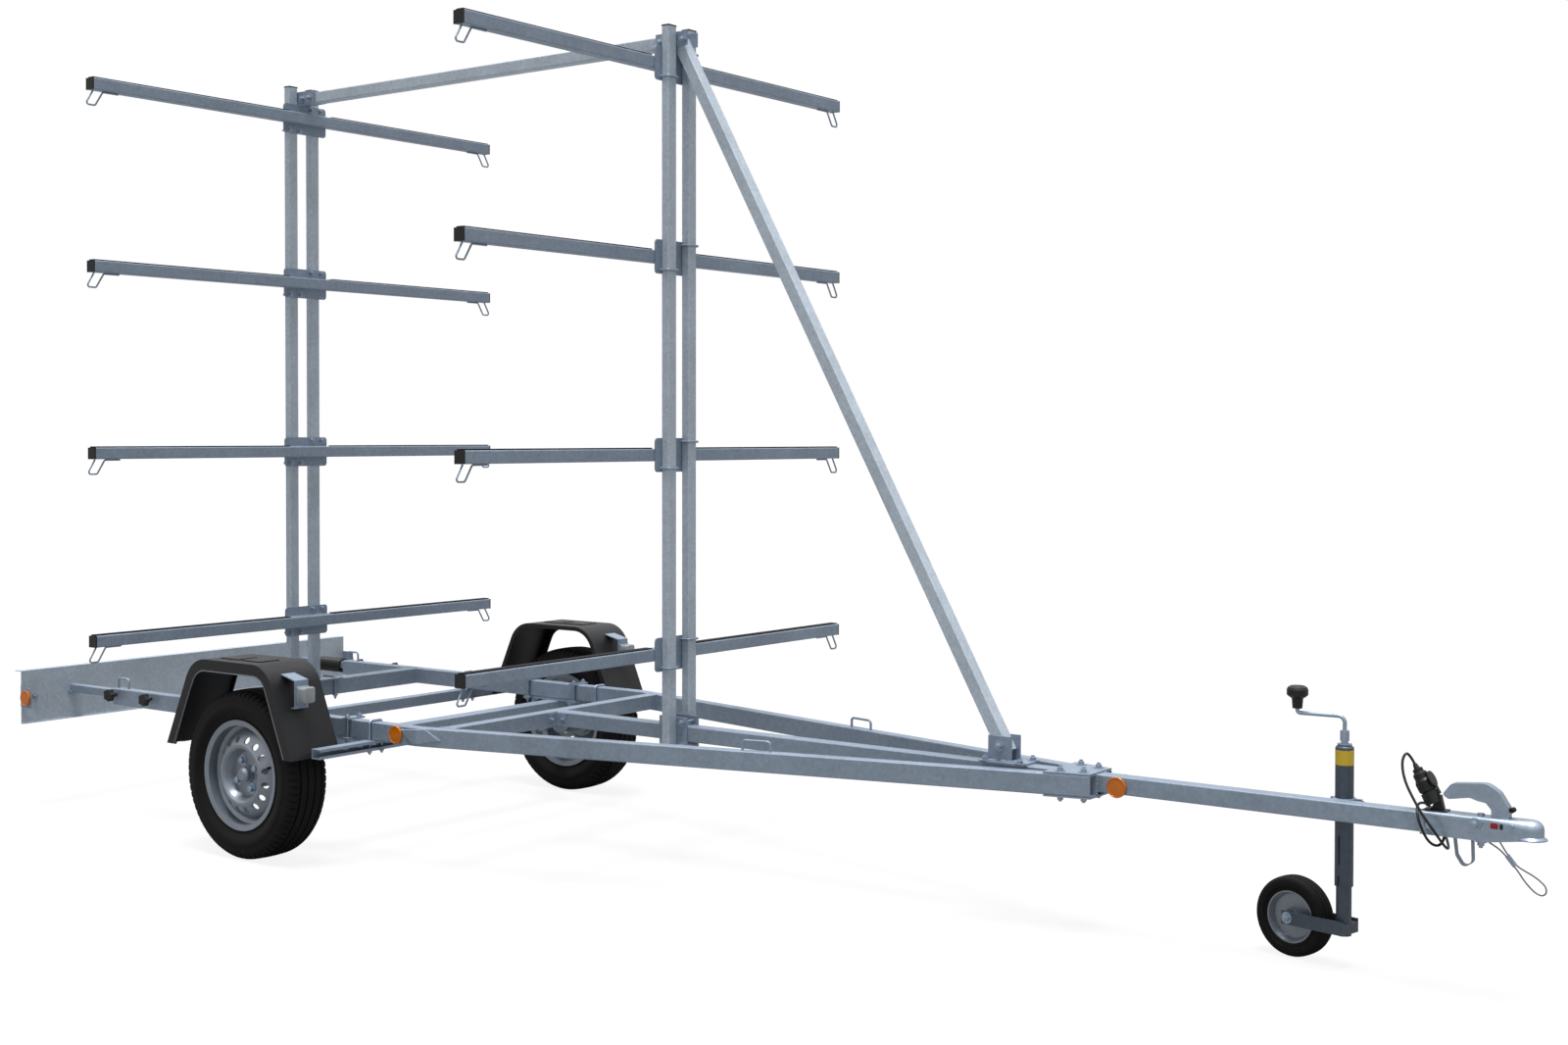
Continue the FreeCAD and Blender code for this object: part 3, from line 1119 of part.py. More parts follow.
CABLE = [(3640, 0, 396), (3640, 0, 380), (3632, -24, 368), (3617, -45, 380), (3602, -51, 408),
         (3589, -47, 440), (3580, -28, 463), (3578, 2, 469), (3586, 32, 463), (3600, 50, 440),
         (3617, 52, 408), (3634, 40, 378), (3648, 12, 363), (3655, -20, 364), (3652, -46, 380),
         (3638, -58, 406), (3618, -62, 434), (3597, -60, 462), (3576, -52, 492),
         (3557, -43, 522), (3545, -32, 551), (3540, -19, 577), (3546, -6, 594),
         tuple(on_plug(size("plug_len") + 15, 0)), tuple(on_plug(size("plug_len"), 0))]
ROPE = [(3749, 0, 390), (3770, 0, 380), (3791, 0, 361.3), (3811, 0, 337.3), (3822, 3, 322),
        (3832, 8, 304), (3847, 14, 285), (3859, 18, 274), (3872.5, 21, 270), (3881, 22, 278),
        (3880, 21.7, 292), (3870, 19, 304), (3852, 14, 318), (3835, 7, 328), (3815, 0, 340.7),
        (3795, 0, 364.7), (3781, 0, 385), (3769, 0, 405.9)]


def lead(label, points, radius):
    """A free lead: straight runs with the largest arcs that fit between them."""
    radii = []
    for back, corner, ahead in zip(points, points[1:], points[2:]):
        first, last = Vector(*back) - Vector(*corner), Vector(*ahead) - Vector(*corner)
        turn = math.pi - first.getAngle(last)
        radii.append(0.45 * min(first.Length, last.Length) / math.tan(turn / 2))
    solid = bent_rod(points, radii, radius)
    path = rounded_path(points, radii)
    print(f"{label}: length {path.Length:.0f}, tightest arc {min(radii):.1f}, "
          f"volume over section {solid.Volume / (math.pi * radius ** 2 * path.Length):.3f}")
    return shaped(solid)


def curl(back, front, middle, bore):
    """Outer shape of the coils of the curly lead that hang on the carrier."""
    start = Vector(-back, size("rail_y"), middle)
    ring = Part.makeCylinder(size("curl_r"), back - front, start, Vector(1, 0, 0))
    return ring.cut(Part.makeCylinder(bore, back - front, start, Vector(1, 0, 0)))


node("connecting_cable", lead("connecting_cable", CABLE, size("cable_r")))
node("safety_rope", lead("safety_rope", ROPE, size("rope_r")))

curl_back, curl_bore = size("curl_back"), size("curl_r") - size("curl_wire") + 0.5
curl_z = (size("carrier_z") + size("carrier_box") / 2 + size("curl_gap")
          - math.sqrt(curl_bore ** 2 - size("carrier_box") ** 2 / 4))
wire_z = curl_z - size("curl_r") + size("curl_wire") / 2
CURL_RUN = [(-curl_back, 550, wire_z), (-curl_back - 30, 550, wire_z),
            (-curl_back - 60, 545, wire_z - 7), (-curl_back - 87, 540, wire_z - 7),
            (-size("board_x"), 540, wire_z - 7)]
node("curly_lead", shaped(curl(curl_back, size("curl_front"), curl_z, curl_bore)),
     lead("curly_lead", CURL_RUN, size("curl_wire") / 2))

ferrule_top, ferrule_end = Vector(3793, 0, 363), Vector(3813, 0, 339)
heading = (ferrule_end - ferrule_top).normalize()
across = heading.cross(Vector(0, 1, 0))
middle = size("ferrule_w") / 2 - size("ferrule_t") / 2
ferrule_long = (ferrule_end - ferrule_top).Length
sleeves = [Part.makeCylinder(size("ferrule_t") / 2, ferrule_long,
                             ferrule_top + across * middle * s, heading) for s in (-1, 1)]
corners = [ferrule_top + across * (middle * a) + Vector(0, size("ferrule_t") / 2 * b, 0)
           for a, b in ((-1, -1), (1, -1), (1, 1), (-1, 1))]
core = Part.Face(Part.makePolygon(corners + corners[:1])).extrude(heading * ferrule_long)
node("rope_ferrule", shaped(core.fuse(sleeves)))

strap_top = size("deck_z") - size("drawbar_w") - 0.2
strap_half = size("strap_w") / 2
strap_wire = rounded_path([(3666, 0, strap_top), (3672, 0, 350), (3690, 0, 322), (3712, 0, 336),
                           (3710, 0, strap_top)], [14, 12, 14])
strap_ends = [Vector(3664.5, -strap_half, strap_top), Vector(3667.5, -strap_half, strap_top),
              Vector(3667.5, strap_half, strap_top), Vector(3664.5, strap_half, strap_top)]
strap_face = Part.Face(Part.makePolygon(strap_ends + strap_ends[:1]))
node("rest_strap", shaped(strap_wire.makePipeShell([strap_face.OuterWire], True, False)))

# Jockey wheel

FORK_BACK = Vector(-math.cos(math.radians(size("fork_turn"))),
                   math.sin(math.radians(-size("fork_turn"))), 0)


def jockey_tube():
    """Outer tube with a domed top, the guide slot and the notch that takes the fork."""
    foot = Vector(size("jockey_x"), size("jockey_y"), size("jockey_low"))
    radius, tall = size("jockey_r"), size("jockey_top") - size("jockey_low")
    solid = Part.makeCylinder(radius, tall, foot)
    rim = [e for e in solid.Edges if e.Closed and e.CenterOfMass.z > foot.z + tall - 1]
    solid = solid.makeFillet(8, rim)
    hollow = Part.makeCylinder(radius - size("jockey_wall"), tall - 9, foot - Vector(0, 0, 1))
    facing = Vector(FORK_BACK.y, -FORK_BACK.x, 0) * -1
    slot = Part.makeBox(5, radius, 75, Vector(-2.5, radius - 12, 58))
    notch = Part.makeBox(9, radius, 26, Vector(-4.5, radius - 12, -1))
    cap = Part.makeCylinder(4.5, radius, Vector(0, radius - 12, 25), Vector(0, 1, 0))
    tools = [slot, notch, cap]
    for tool in tools:
        tool.rotate(Vector(), Vector(0, 0, 1), math.degrees(math.atan2(facing.y, facing.x)) - 90)
        tool.translate(foot)
    return solid.cut([hollow, *tools])


def jockey_crank():
    """Bent crank in its collar, with the mushroom grip at its end."""
    x, y, top = size("jockey_x"), size("jockey_y"), size("jockey_top")
    reach, rise, radius = size("crank_reach"), size("crank_rise"), size("crank_r")
    tip = Vector(x - reach, y - reach * 0.08, top + rise)
    rod_path = [(x, y, top + 30), (x, y, top + rise), tuple(tip), tuple(tip + Vector(0, 0, 30))]
    crank = bent_rod(rod_path, [18, 8], radius)
    collar = Part.makeCylinder(12, 27, Vector(x, y, top + 12))
    washer = Part.makeCylinder(19, 3, Vector(x, y, top + 2))
    neck = Part.makeCylinder(9, 15, Vector(x, y, top))
    return crank.fuse([collar, washer, neck])


def crank_grip():
    """Grip turned about the crank's end: a stem under a wide rounded head."""
    reach = size("crank_reach")
    foot = Vector(size("jockey_x") - reach, size("jockey_y") - reach * 0.08,
                  size("jockey_top") + size("crank_rise") + 12)
    bore, stem, head = size("crank_r") + 0.3, size("knob_stem_r"), size("knob_r")
    profile = [(bore, 0), (stem - 2, 0), (stem, 26), (head - 4, 32), (head, 36), (head, 50),
               (head - 3, 56), (head - 10, 60), (0, 61), (0, 20), (bore, 20)]
    corners = [foot + Vector(radius, 0, height) for radius, height in profile]
    face = Part.Face(Part.makePolygon(corners + corners[:1]))
    return face.revolve(foot, Vector(0, 0, 1), 360)


node("jockey_tube", shaped(jockey_tube()))
node("jockey_crank", shaped(jockey_crank()))
node("crank_grip", shaped(crank_grip()))

AXLE_HIGH = "jockey_wheel_r"


def in_fork(item):
    """Turn a piece of the fork about the jockey tube."""
    turned_item = doc.addObject("Part::Compound", "turned_piece")
    turned_item.Links = [item]
    turned_item.Placement = Placement(Vector(), Rotation(Vector(0, 0, 1), -12))
    bind(turned_item, "Placement.Rotation.Angle", "0 - fork_turn")
    turned_item.Placement.Rotation.Axis = Vector(0, 0, -1)
    bind(turned_item, "Placement.Base.x", "jockey_x")
    bind(turned_item, "Placement.Base.y", "jockey_y")
    return turned_item


leg = cut(rod("0", "0", "leg_low", "leg_r", "leg_top - leg_low"),
          rod("0", "0", "leg_low - 1", "leg_r - leg_wall", "leg_top - leg_low - leg_wall"))
plates = [box("-fork_reach - 18", f"{side} * (jockey_wheel_w / 2 + 4 + fork_tee / 2) - "
              "fork_tee / 2", f"{AXLE_HIGH} - fork_h / 2", "fork_reach + 18 + leg_r",
              "fork_tee", "fork_h") for side in ("-1", "1")]
bridge = box("-leg_r", "-jockey_wheel_w / 2 - 6", f"{AXLE_HIGH} - fork_h / 2", "2 * leg_r",
             "jockey_wheel_w + 12", "bridge_h")
axle_pin = rod("-fork_reach", "-jockey_wheel_w / 2 - 16", AXLE_HIGH, "6",
               "jockey_wheel_w + 32", "y")
node("jockey_leg", in_fork(fuse(leg, *plates, bridge, axle_pin)))

half = "jockey_wheel_w / 2"
small_tyre = [("jockey_rim_r", f"-{half} * 0.72"), ("jockey_wheel_r - 20", f"-{half}"),
              ("jockey_wheel_r - 6", f"-{half} * 0.82"), ("jockey_wheel_r", f"-{half} * 0.4"),
              ("jockey_wheel_r", f"{half} * 0.4"), ("jockey_wheel_r - 6", f"{half} * 0.82"),
              ("jockey_wheel_r - 20", half), ("jockey_rim_r", f"{half} * 0.72")]
small_rim = [("6.1", "-22"), ("22", "-22"), ("22", "-6"), ("jockey_rim_r - 12", "-6"),
             ("jockey_rim_r - 4", "-24"), ("jockey_rim_r - 0.3", "-24"),
             ("jockey_rim_r - 0.3", "24"), ("jockey_rim_r - 4", "24"),
             ("jockey_rim_r - 12", "6"), ("22", "6"), ("22", "22"), ("6.1", "22")]
node("jockey_tyre", in_fork(turned(small_tyre, "-fork_reach", "0", AXLE_HIGH)))
node("jockey_rim", in_fork(turned(small_rim, "-fork_reach", "0", AXLE_HIGH)))


def jockey_clamp():
    """Two hinged half shells round the jockey tube, the inner one on the drawbar's side."""
    bore, wall = size("jockey_r") + 0.3, size("clamp_wall")
    x, y = size("jockey_x"), size("jockey_y")
    low, tall = size("deck_z") - 45, 40
    ring = Part.makeCylinder(bore + wall, tall, Vector(x, y, low))
    near, far = bore + wall + 5, bore + wall + 16
    ears = Part.makeBox(near + far, 2 * wall, tall, Vector(x - near, y - wall, low))
    plate = Part.makeBox(70, wall, tall, Vector(x - 35, size("drawbar_w") / 2, low))
    web = Part.makeBox(44, y - bore - size("drawbar_w") / 2, tall,
                       Vector(x - 22, size("drawbar_w") / 2, low))
    middle = Part.makeBox(200, 0.6, tall + 2, Vector(x - 100, y - 0.3, low - 1))
    hole = Part.makeCylinder(bore, tall + 2, Vector(x, y, low - 1))
    halves = ring.fuse([ears, plate, web]).cut([hole, middle])
    bolt = Part.makeCylinder(4, 2 * wall + 16, Vector(x + far - 8, y - wall - 8, low + tall / 2),
                             Vector(0, 1, 0))
    hinge = Part.makeCylinder(4, tall, Vector(x - near + 4.5, y, low))
    return halves.fuse([bolt, hinge])


node("jockey_clamp", shaped(jockey_clamp()))


# Check and write

doc.recompute()
faults = [item.Name for item in doc.Objects
          if {"Invalid", "Error"} & set(item.State)]
for item in NODES:
    if item.Shape.isNull() or not item.Shape.isValid() or not item.Shape.Solids:
        faults.append(item.Label)
if faults:
    raise RuntimeError("failed pieces: " + ", ".join(faults))
os.makedirs("parts", exist_ok=True)
for item in NODES:
    solids = item.Shape.Solids
    shape = solids[0] if len(solids) == 1 else Part.makeCompound(solids)
    shape.exportStep(f"parts/{item.Label}.step")
    print(f"{item.Label}: {len(solids)} solids, {shape.Volume / 1e3:.1f} cm3")
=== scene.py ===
"""Looks of a galvanised boat rack trailer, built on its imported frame.

X runs forward to the coupling, Y to the trailer's left and Z up, in metres. Places are
written in millimetres from the middle of the axle at floor level, as the part's own are.
"""
import math

import bmesh
import bpy
from mathutils import Matrix, Vector

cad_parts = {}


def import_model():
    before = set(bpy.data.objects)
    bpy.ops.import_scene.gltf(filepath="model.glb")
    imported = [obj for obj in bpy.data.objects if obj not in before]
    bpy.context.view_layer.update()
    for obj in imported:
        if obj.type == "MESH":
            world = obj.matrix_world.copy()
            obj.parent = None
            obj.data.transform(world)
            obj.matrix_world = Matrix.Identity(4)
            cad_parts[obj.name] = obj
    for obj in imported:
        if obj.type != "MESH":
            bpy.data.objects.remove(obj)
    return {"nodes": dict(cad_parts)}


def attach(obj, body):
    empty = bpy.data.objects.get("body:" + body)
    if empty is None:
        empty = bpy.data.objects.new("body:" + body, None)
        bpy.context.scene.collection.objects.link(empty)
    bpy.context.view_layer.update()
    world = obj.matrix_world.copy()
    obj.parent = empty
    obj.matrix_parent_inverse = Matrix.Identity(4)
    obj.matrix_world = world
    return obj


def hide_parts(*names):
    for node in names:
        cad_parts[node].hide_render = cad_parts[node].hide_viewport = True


bl_info = {
    "name": "Boat rack trailer",
    "version": (1, 0, 0),
    "blender": (4, 5, 0),
    "location": "View3D > Sidebar > Trailer",
    "description": "Dresses the packed frame of a four-level boat rack trailer",
    "category": "Object",
}

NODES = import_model()["nodes"]
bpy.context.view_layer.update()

MM = 0.001
SHIFT = -1.239  # metres from the frame's origin to the axle's middle
SIDES = (-1, 1)

# Places and sizes of the part's own pieces, in millimetres
DECK, RAIL_LOW, RAIL_Y, RAIL_IN = 450, 390, 550, 530
REAR_POST, FRONT_POST, POST_Y, POST_HALF = -695, 1167.5, 51, 20
LEVELS, ARM_TALL = (702, 1347, 1986, 2607), 40
HALF_TRACK, WHEEL_Z = 772.5, 278
BEND_X, JUNCTION_X, NOSE_IN = 540, 2690, 25.3
V_SLOPE = (RAIL_IN - NOSE_IN) / (JUNCTION_X - BEND_X)
BOARD_X, BOARD_Y, BOARD_BACK = -1360, 770, -1363
LAMP_Y = 783
JOCKEY = Vector((3357, 76, 0))
FORK_TURN = math.radians(-12)
JOCKEY_HUB = Vector((3212.23, 106.77, 107.5))


def linear(text):
    """Turn an sRGB hex colour into linear red, green, blue and alpha."""
    parts = [int(text[i:i + 2], 16) / 255 for i in (1, 3, 5)]
    return tuple(c / 12.92 if c <= 0.04045 else ((c + 0.055) / 1.055) ** 2.4
                 for c in parts) + (1.0,)


WHITE = linear("#FFFFFF")


def colour(name, about, text):
    return bpy.props.FloatVectorProperty(name=name, description=about, size=4, min=0, max=1,
                                         subtype="COLOR", default=linear(text))


def length(name, about, millimetres):
    return bpy.props.FloatProperty(name=name, description=about, default=millimetres * MM,
                                   min=0, subtype="DISTANCE", unit="LENGTH")


class TrailerColours(bpy.types.PropertyGroup):
    """Colours of the trailer's finishes"""
    zinc: colour("Galvanised steel", "Dull zinc coat of the tubes", "#8D9BAC")
    matt: colour("Matt galvanised steel", "Paler zinc coat of posts and braces", "#B7C3CF")
    # Jockey tube and leg: the zinc is coloured dark as a painted reflection
    dark: colour("Dark galvanised steel", "Jockey tube and leg", "#4A535F")
    plated: colour("Plated fittings", "Bright zinc of bolts and coupling", "#A3B2C3")
    rim: colour("Wheel paint", "Silver paint of the rims", "#88909B")
    tyre: colour("Tyre", "Carbon black tyre rubber", "#080809")
    guard: colour("Mudguard", "Black polypropylene", "#0D0E12")
    plastic: colour("Black plastic", "Caps, knobs and plug", "#0F1011")
    strip: colour("Rubber strip", "Edge strip on the arms", "#131415")
    amber: colour("Amber lens", "Side reflectors", "#DE7A08")
    red: colour("Red lens", "Rear lamps", "#A81412")
    clear: colour("Clear lens", "Front lamps", "#DDE3E8")
    label: colour("Label band", "Blank band on the jockey tube", "#D8B42C")


class TrailerSizes(bpy.types.PropertyGroup):
    """Sizes of the added detail"""
    cable: length("Connecting cable", "Diameter of the lead to the towing car", 7)
    rope: length("Safety rope", "Diameter of the breakaway rope", 4)
    curl: length("Curly lead", "Diameter of the lead round the carrier", 7)
    groove: length("Tread groove", "Depth of the tyre's grooves", 6)
    spangle: length("Zinc spangle", "Width of the zinc crystals", 10)
    bead: length("Weld bead", "Width of the weld beads", 6)


# Materials


def feed(tree, node, inputs):
    """Set or link a node's inputs. A node gives its first output, and a tuple such as
    ("ADD", a, b) the sum of a and b."""
    for socket, source in inputs.items():
        for item in source if isinstance(source, list) else [source]:
            if isinstance(item, tuple) and isinstance(item[0], str):
                item = add(tree, "ShaderNodeMath", dict(enumerate(item[1:])), operation=item[0])
            item = getattr(item, "outputs", [item])[0]
            if isinstance(item, bpy.types.NodeSocket):
                tree.links.new(item, node.inputs[socket])
            else:
                node.inputs[socket].default_value = item


def add(tree, kind, inputs=(), **settings):
    """Add a node with its settings and inputs."""
    node = tree.nodes.new(kind)
    for key, value in settings.items():
        setattr(node, key, value)
    feed(tree, node, dict(inputs))
    return node


def between(low, high, signal):
    """Spread a 0 to 1 signal over a range."""
    return ("MULTIPLY_ADD", signal, high - low, low)


def new_material(name, base, metallic, roughness, **sockets):
    """A material with its plain values on the shader's own sockets."""
    material = bpy.data.materials.new(name)
    material.use_nodes = True
    shader = material.node_tree.nodes["Principled BSDF"]
    values = {"Base_Color": tuple(base), "Metallic": metallic, "Roughness": roughness}
    for socket, value in {**values, **sockets}.items():
        shader.inputs[socket.replace("_", " ")].default_value = value
    return material, material.node_tree, shader


def pattern(tree, kind, size, **inputs):
    """A texture on object coordinates with features of a size in millimetres."""
    place = add(tree, "ShaderNodeTexCoord").outputs["Object"]
    return add(tree, kind, {"Vector": place, "Scale": 1 / (size * MM), **inputs})


def textured(tree, shader, base, brightness, gloss=None, relief=None):
    """Let patterns drive the colour's brightness, the roughness and a bump, which is given
    as its pattern, depth in millimetres and strength."""
    shade = add(tree, "ShaderNodeVectorMath", {0: tuple(base)[:3], "Scale": brightness},
                operation="SCALE")
    feed(tree, shader, {"Base Color": shade})
    if gloss:
        feed(tree, shader, {"Roughness": gloss})
    if relief:
        grain, depth, strength = relief
        feed(tree, shader, {"Normal": add(tree, "ShaderNodeBump", {
            "Height": grain, "Distance": depth * MM, "Strength": strength})})


def galvanised(name, base, spangle, metallic, mottle):
    """Hot-dip galvanised steel: dipped, so its zinc froze in dull crystals about 10 mm wide
    with slow runs and a slightly lumpy skin. Steel rich in silicon comes out paler and more
    mottled, as the posts and braces here."""
    material, tree, shader = new_material(name, base, metallic, 0.5)
    # A slow noise pushes the crystals by up to 8 mm, so that none has a straight edge
    warp = pattern(tree, "ShaderNodeTexNoise", 30).outputs["Color"]
    place = add(tree, "ShaderNodeTexCoord").outputs["Object"]
    moved = add(tree, "ShaderNodeVectorMath", {0: warp, 1: (8 * MM,) * 3, 2: place},
                operation="MULTIPLY_ADD")
    crystals = add(tree, "ShaderNodeTexVoronoi", {
        "Vector": moved, "Scale": 1 / spangle, "Randomness": 1.0}).outputs["Color"]
    grey, gleam, _ = add(tree, "ShaderNodeSeparateColor", {"Color": crystals}).outputs
    runs = pattern(tree, "ShaderNodeTexNoise", 160, Detail=4.0, Roughness=0.6)
    specks = pattern(tree, "ShaderNodeTexNoise", 7, Detail=3.0, Roughness=0.65)
    mixed = ("ADD", between(-0.07, 0.07, grey), between(-0.20, 0.22, runs))
    mixed = ("ADD", mixed, between(-mottle, mottle, specks))
    textured(tree, shader, base, ("ADD", mixed, 1.0), between(0.42, 0.58, gleam),
             (specks, 0.2, 0.5))
    return material


def lens(name, base, cell, transmission):
    """Moulded acrylic lens: glossy, with a prism pattern behind the surface."""
    material, tree, shader = new_material(name, base, 0.0, 0.14, IOR=1.49,
                                          Transmission_Weight=transmission)
    prisms = pattern(tree, "ShaderNodeTexVoronoi", cell, Randomness=0.1)
    textured(tree, shader, base, between(1.12, 0.72, prisms), None, (prisms, 0.3, 0.5))
    return material


def clouded(name, base, metallic, roughness, cloud, shade, gloss=None, grain=None, **sockets):
    """A finish whose brightness and roughness drift with a cloud of noise, given as its size
    in millimetres, detail and roughness, over a grain of a size, depth and strength."""
    material, tree, shader = new_material(name, base, metallic, roughness, **sockets)
    signal = pattern(tree, "ShaderNodeTexNoise", cloud[0], Detail=cloud[1],
                     Roughness=cloud[2])
    if grain:
        grain = (pattern(tree, "ShaderNodeTexNoise", grain[0]), *grain[1:])
    textured(tree, shader, base, between(*shade, signal), gloss and between(*gloss, signal),
             grain)
    return material


def rubber(name, base, grain, roughness):
    """Vulcanised rubber, moulded or extruded: dull black with a bloom in places. Its grain
    is drawn coarser than real, so that it shows."""
    return clouded(name, base, 0.0, roughness, (60, 4.0, 0.6), (0.75, 1.5),
                   (roughness - 0.08, roughness + 0.1), (grain, 0.12, 0.5),
                   Specular_IOR_Level=0.22)


def moulded(name, base, grain, roughness):
    """Injection-moulded plastic: spark-eroded grain, lighter where it is rubbed. The grain
    is drawn coarser than real, so that it shows."""
    return clouded(name, base, 0.0, roughness, (90, 5.0, 0.65), (0.75, 1.25),
                   (roughness - 0.07, roughness + 0.09), (grain, 0.1, 0.45),
                   Specular_IOR_Level=0.4)


FINISHES = {
    "galvanised": [
        "rail_right", "rail_left", "rear_crossbeam", "front_crossbeam", "drawbar",
        "mudguard_beam", "mudguard_channel", "frame_gussets", "axle_beam", "swing_arm_right",
        "swing_arm_left", "rear_post_base", "front_post_clamp", "brace_top_plates",
        "brace_foot", "cross_arms", "arm_clamps", "lashing_loops", "lamp_brackets",
        "lashing_hoops", "board_carriers", "jockey_clamp", "rest_strap"],
    # Jockey tube and leg take the zinc coloured dark as a painted reflection
    "dark": ["jockey_tube", "jockey_leg"],
    "matt": ["posts", "top_brace", "diagonal_brace", "board_panel"],
    "plated": ["rail_ties", "coupling", "coupling_handle", "jockey_crank", "rope_ferrule"],
    "rim": ["rim_right", "rim_left", "hub_right", "hub_left", "jockey_rim"],
    "guard": ["mudguard_right", "mudguard_left"],
    "plastic": ["tube_caps", "rail_knobs", "plug", "plug_holder", "cable_grommet",
                "crank_grip"],
    "strip": ["arm_strips"],
}
MATERIALS = {}


def make_materials(colours, spangle):
    """Every finish once, by the short name that the pieces ask for."""
    MATERIALS.update({
        "galvanised": galvanised("hot_dip_galvanised_steel", colours.zinc, spangle, 0.35, 0.15),
        "matt": galvanised("matt_hot_dip_galvanised_steel", colours.matt, spangle, 0.2, 0.3),
        # Smoother zinc of the drawn tubes, coloured dark as a painted reflection of dark
        # surroundings
        "dark": galvanised("reflection_painted_galvanised_steel", colours.dark, spangle, 0.35, 0.15),
        # Bright zinc plate: smooth thin coat, only slight clouding
        "plated": clouded("bright_zinc_plate", colours.plated, 0.8, 0.33, (18, 4.0, 0.6),
                          (0.72, 1.12), (0.26, 0.44), (4, 0.06, 0.5)),
        # Silver wheel enamel: sprayed metallic paint with a fine orange peel and road dust
        "rim": clouded("silver_wheel_enamel", colours.rim, 0.5, 0.38, (40, 4.0, 0.6),
                       (0.8, 1.1), (0.3, 0.48), (2.5, 0.05, 0.4), Coat_Weight=0.25,
                       Coat_Roughness=0.2),
        "tyre": rubber("tyre_rubber", colours.tyre, 1.5, 0.78),
        "strip": rubber("extruded_edge_rubber", colours.strip, 2.0, 0.7),
        "guard": moulded("grained_polypropylene", colours.guard, 1.6, 0.46),
        # Mudguard's rolled edge: the plastic coloured pale grey, a painted highlight along the
        # lip
        "edge": moulded("highlight_painted_polypropylene_edge", linear("#6F7074"), 1.0, 0.35),
        "plastic": moulded("black_polyamide", colours.plastic, 1.0, 0.42),
        # Extruded sheath: a soft sheen over long shallow unevenness
        "cable": moulded("black_pvc_sheath", colours.plastic, 3.0, 0.4),
        "amber": lens("amber_acrylic_lens", colours.amber, 3.5, 0.1),
        "red": lens("red_acrylic_lens", colours.red, 4.0, 0.15),
        "clear": lens("clear_acrylic_lens", colours.clear, 4.0, 0.55),
        # Sheathed wire rope: strands show through a grey plastic sleeve
        "rope": clouded("sheathed_wire_rope", linear("#8A8F93"), 0.3, 0.4, (3, 2.0, 0.5),
                        (0.6, 1.2), None, (3, 0.2, 0.6)),
        # Vinyl film: smooth, faded unevenly by the sun
        "label": clouded("yellow_vinyl_film", colours.label, 0.0, 0.35, (25, 3.0, 0.6),
                         (0.82, 1.1), (0.3, 0.45)),
    })


# Meshes


def at(x, y, z):
    """A place from the axle's middle in millimetres, in the row frame in metres."""
    return Vector((x * MM + SHIFT, y * MM, z * MM))


def put(place, way):
    """Matrix that stands a shape in millimetres at a place, its Z along a way."""
    turn = Vector(way).to_track_quat("Z", "Y").to_matrix().to_4x4()
    return Matrix.Translation(at(*place)) @ turn @ Matrix.Scale(MM, 4)


def shown(name, data):
    """A new object of the scene with the given data."""
    holder = bpy.data.objects.new(name, data)
    bpy.context.scene.collection.objects.link(holder)
    return holder


def as_mesh(holder):
    """Plain mesh of an object as its curve or modifiers leave it."""
    graph = bpy.context.evaluated_depsgraph_get()
    return bpy.data.meshes.new_from_object(holder.evaluated_get(graph))


def outward(mesh, data):
    """Turn a bmesh's faces outwards and write it to a mesh."""
    bmesh.ops.recalc_face_normals(mesh, faces=mesh.faces)
    mesh.to_mesh(data)
    mesh.free()
    return data


def once(items):
    """The items in their order, each one once."""
    return list(dict.fromkeys(items))


def block(mesh, size, corner, edge, place, way):
    """A block that faces a way, with rounded corners in plan and a softened rim. Its size
    is width, height and depth as seen from the side it faces."""
    top = size[2] / 2
    made = bmesh.ops.create_cube(mesh, size=1)["verts"]
    bmesh.ops.scale(mesh, vec=size, verts=made)
    sides = [e for e in once(e for v in made for e in v.link_edges)
             if abs(e.verts[0].co.z - e.verts[1].co.z) > top]
    rounded = bmesh.ops.bevel(mesh, geom=sides, offset=corner, segments=5, profile=0.5,
                              affect="EDGES")
    made = once(v for near in rounded["verts"] for f in near.link_faces for v in f.verts)
    if edge:
        rim = [e for e in once(e for v in made for e in v.link_edges)
               if min(v.co.z for v in e.verts) > top - 0.001]
        softened = bmesh.ops.bevel(mesh, geom=rim, offset=edge, segments=3, profile=0.5,
                                   affect="EDGES")
        made = once([v for v in made if v.is_valid] + softened["verts"])
        # The bevel leaves its faces in an order that changes from run to run
        ranked = sorted(mesh.faces, key=lambda face: face.calc_center_median()[:])
        mesh.faces.sort(key={face: rank for rank, face in enumerate(ranked)}.get)
    bmesh.ops.translate(mesh, vec=(0, 0, top), verts=made)
    bmesh.ops.transform(mesh, matrix=put(place, way), verts=made)


def bridge(mesh, rings):
    """Faces from each ring of points to the next. A ring of one point is a pole."""
    for low, high in zip(rings, rings[1:]):
        steps = max(len(low), len(high))
        for i in range(steps):
            j = (i + 1) % steps
            corners = (low[i % len(low)], low[j % len(low)], high[j % len(high)],
                       high[i % len(high)])
            mesh.faces.new(once(corners))


def lathe(mesh, profile, place, way, steps=40):
    """A shape turned about a way from radius and height, closed at the axis or to a ring."""
    matrix, rings = put(place, way), []
    for radius, height in profile:
        turns = [2 * math.pi * i / steps for i in range(steps if radius else 1)]
        rings.append([mesh.verts.new(matrix @ Vector(
            (radius * math.cos(turn), radius * math.sin(turn), height))) for turn in turns])
    closed = len(rings[0]) > 1 and len(rings[-1]) > 1
    bridge(mesh, rings + rings[:1] if closed else rings)


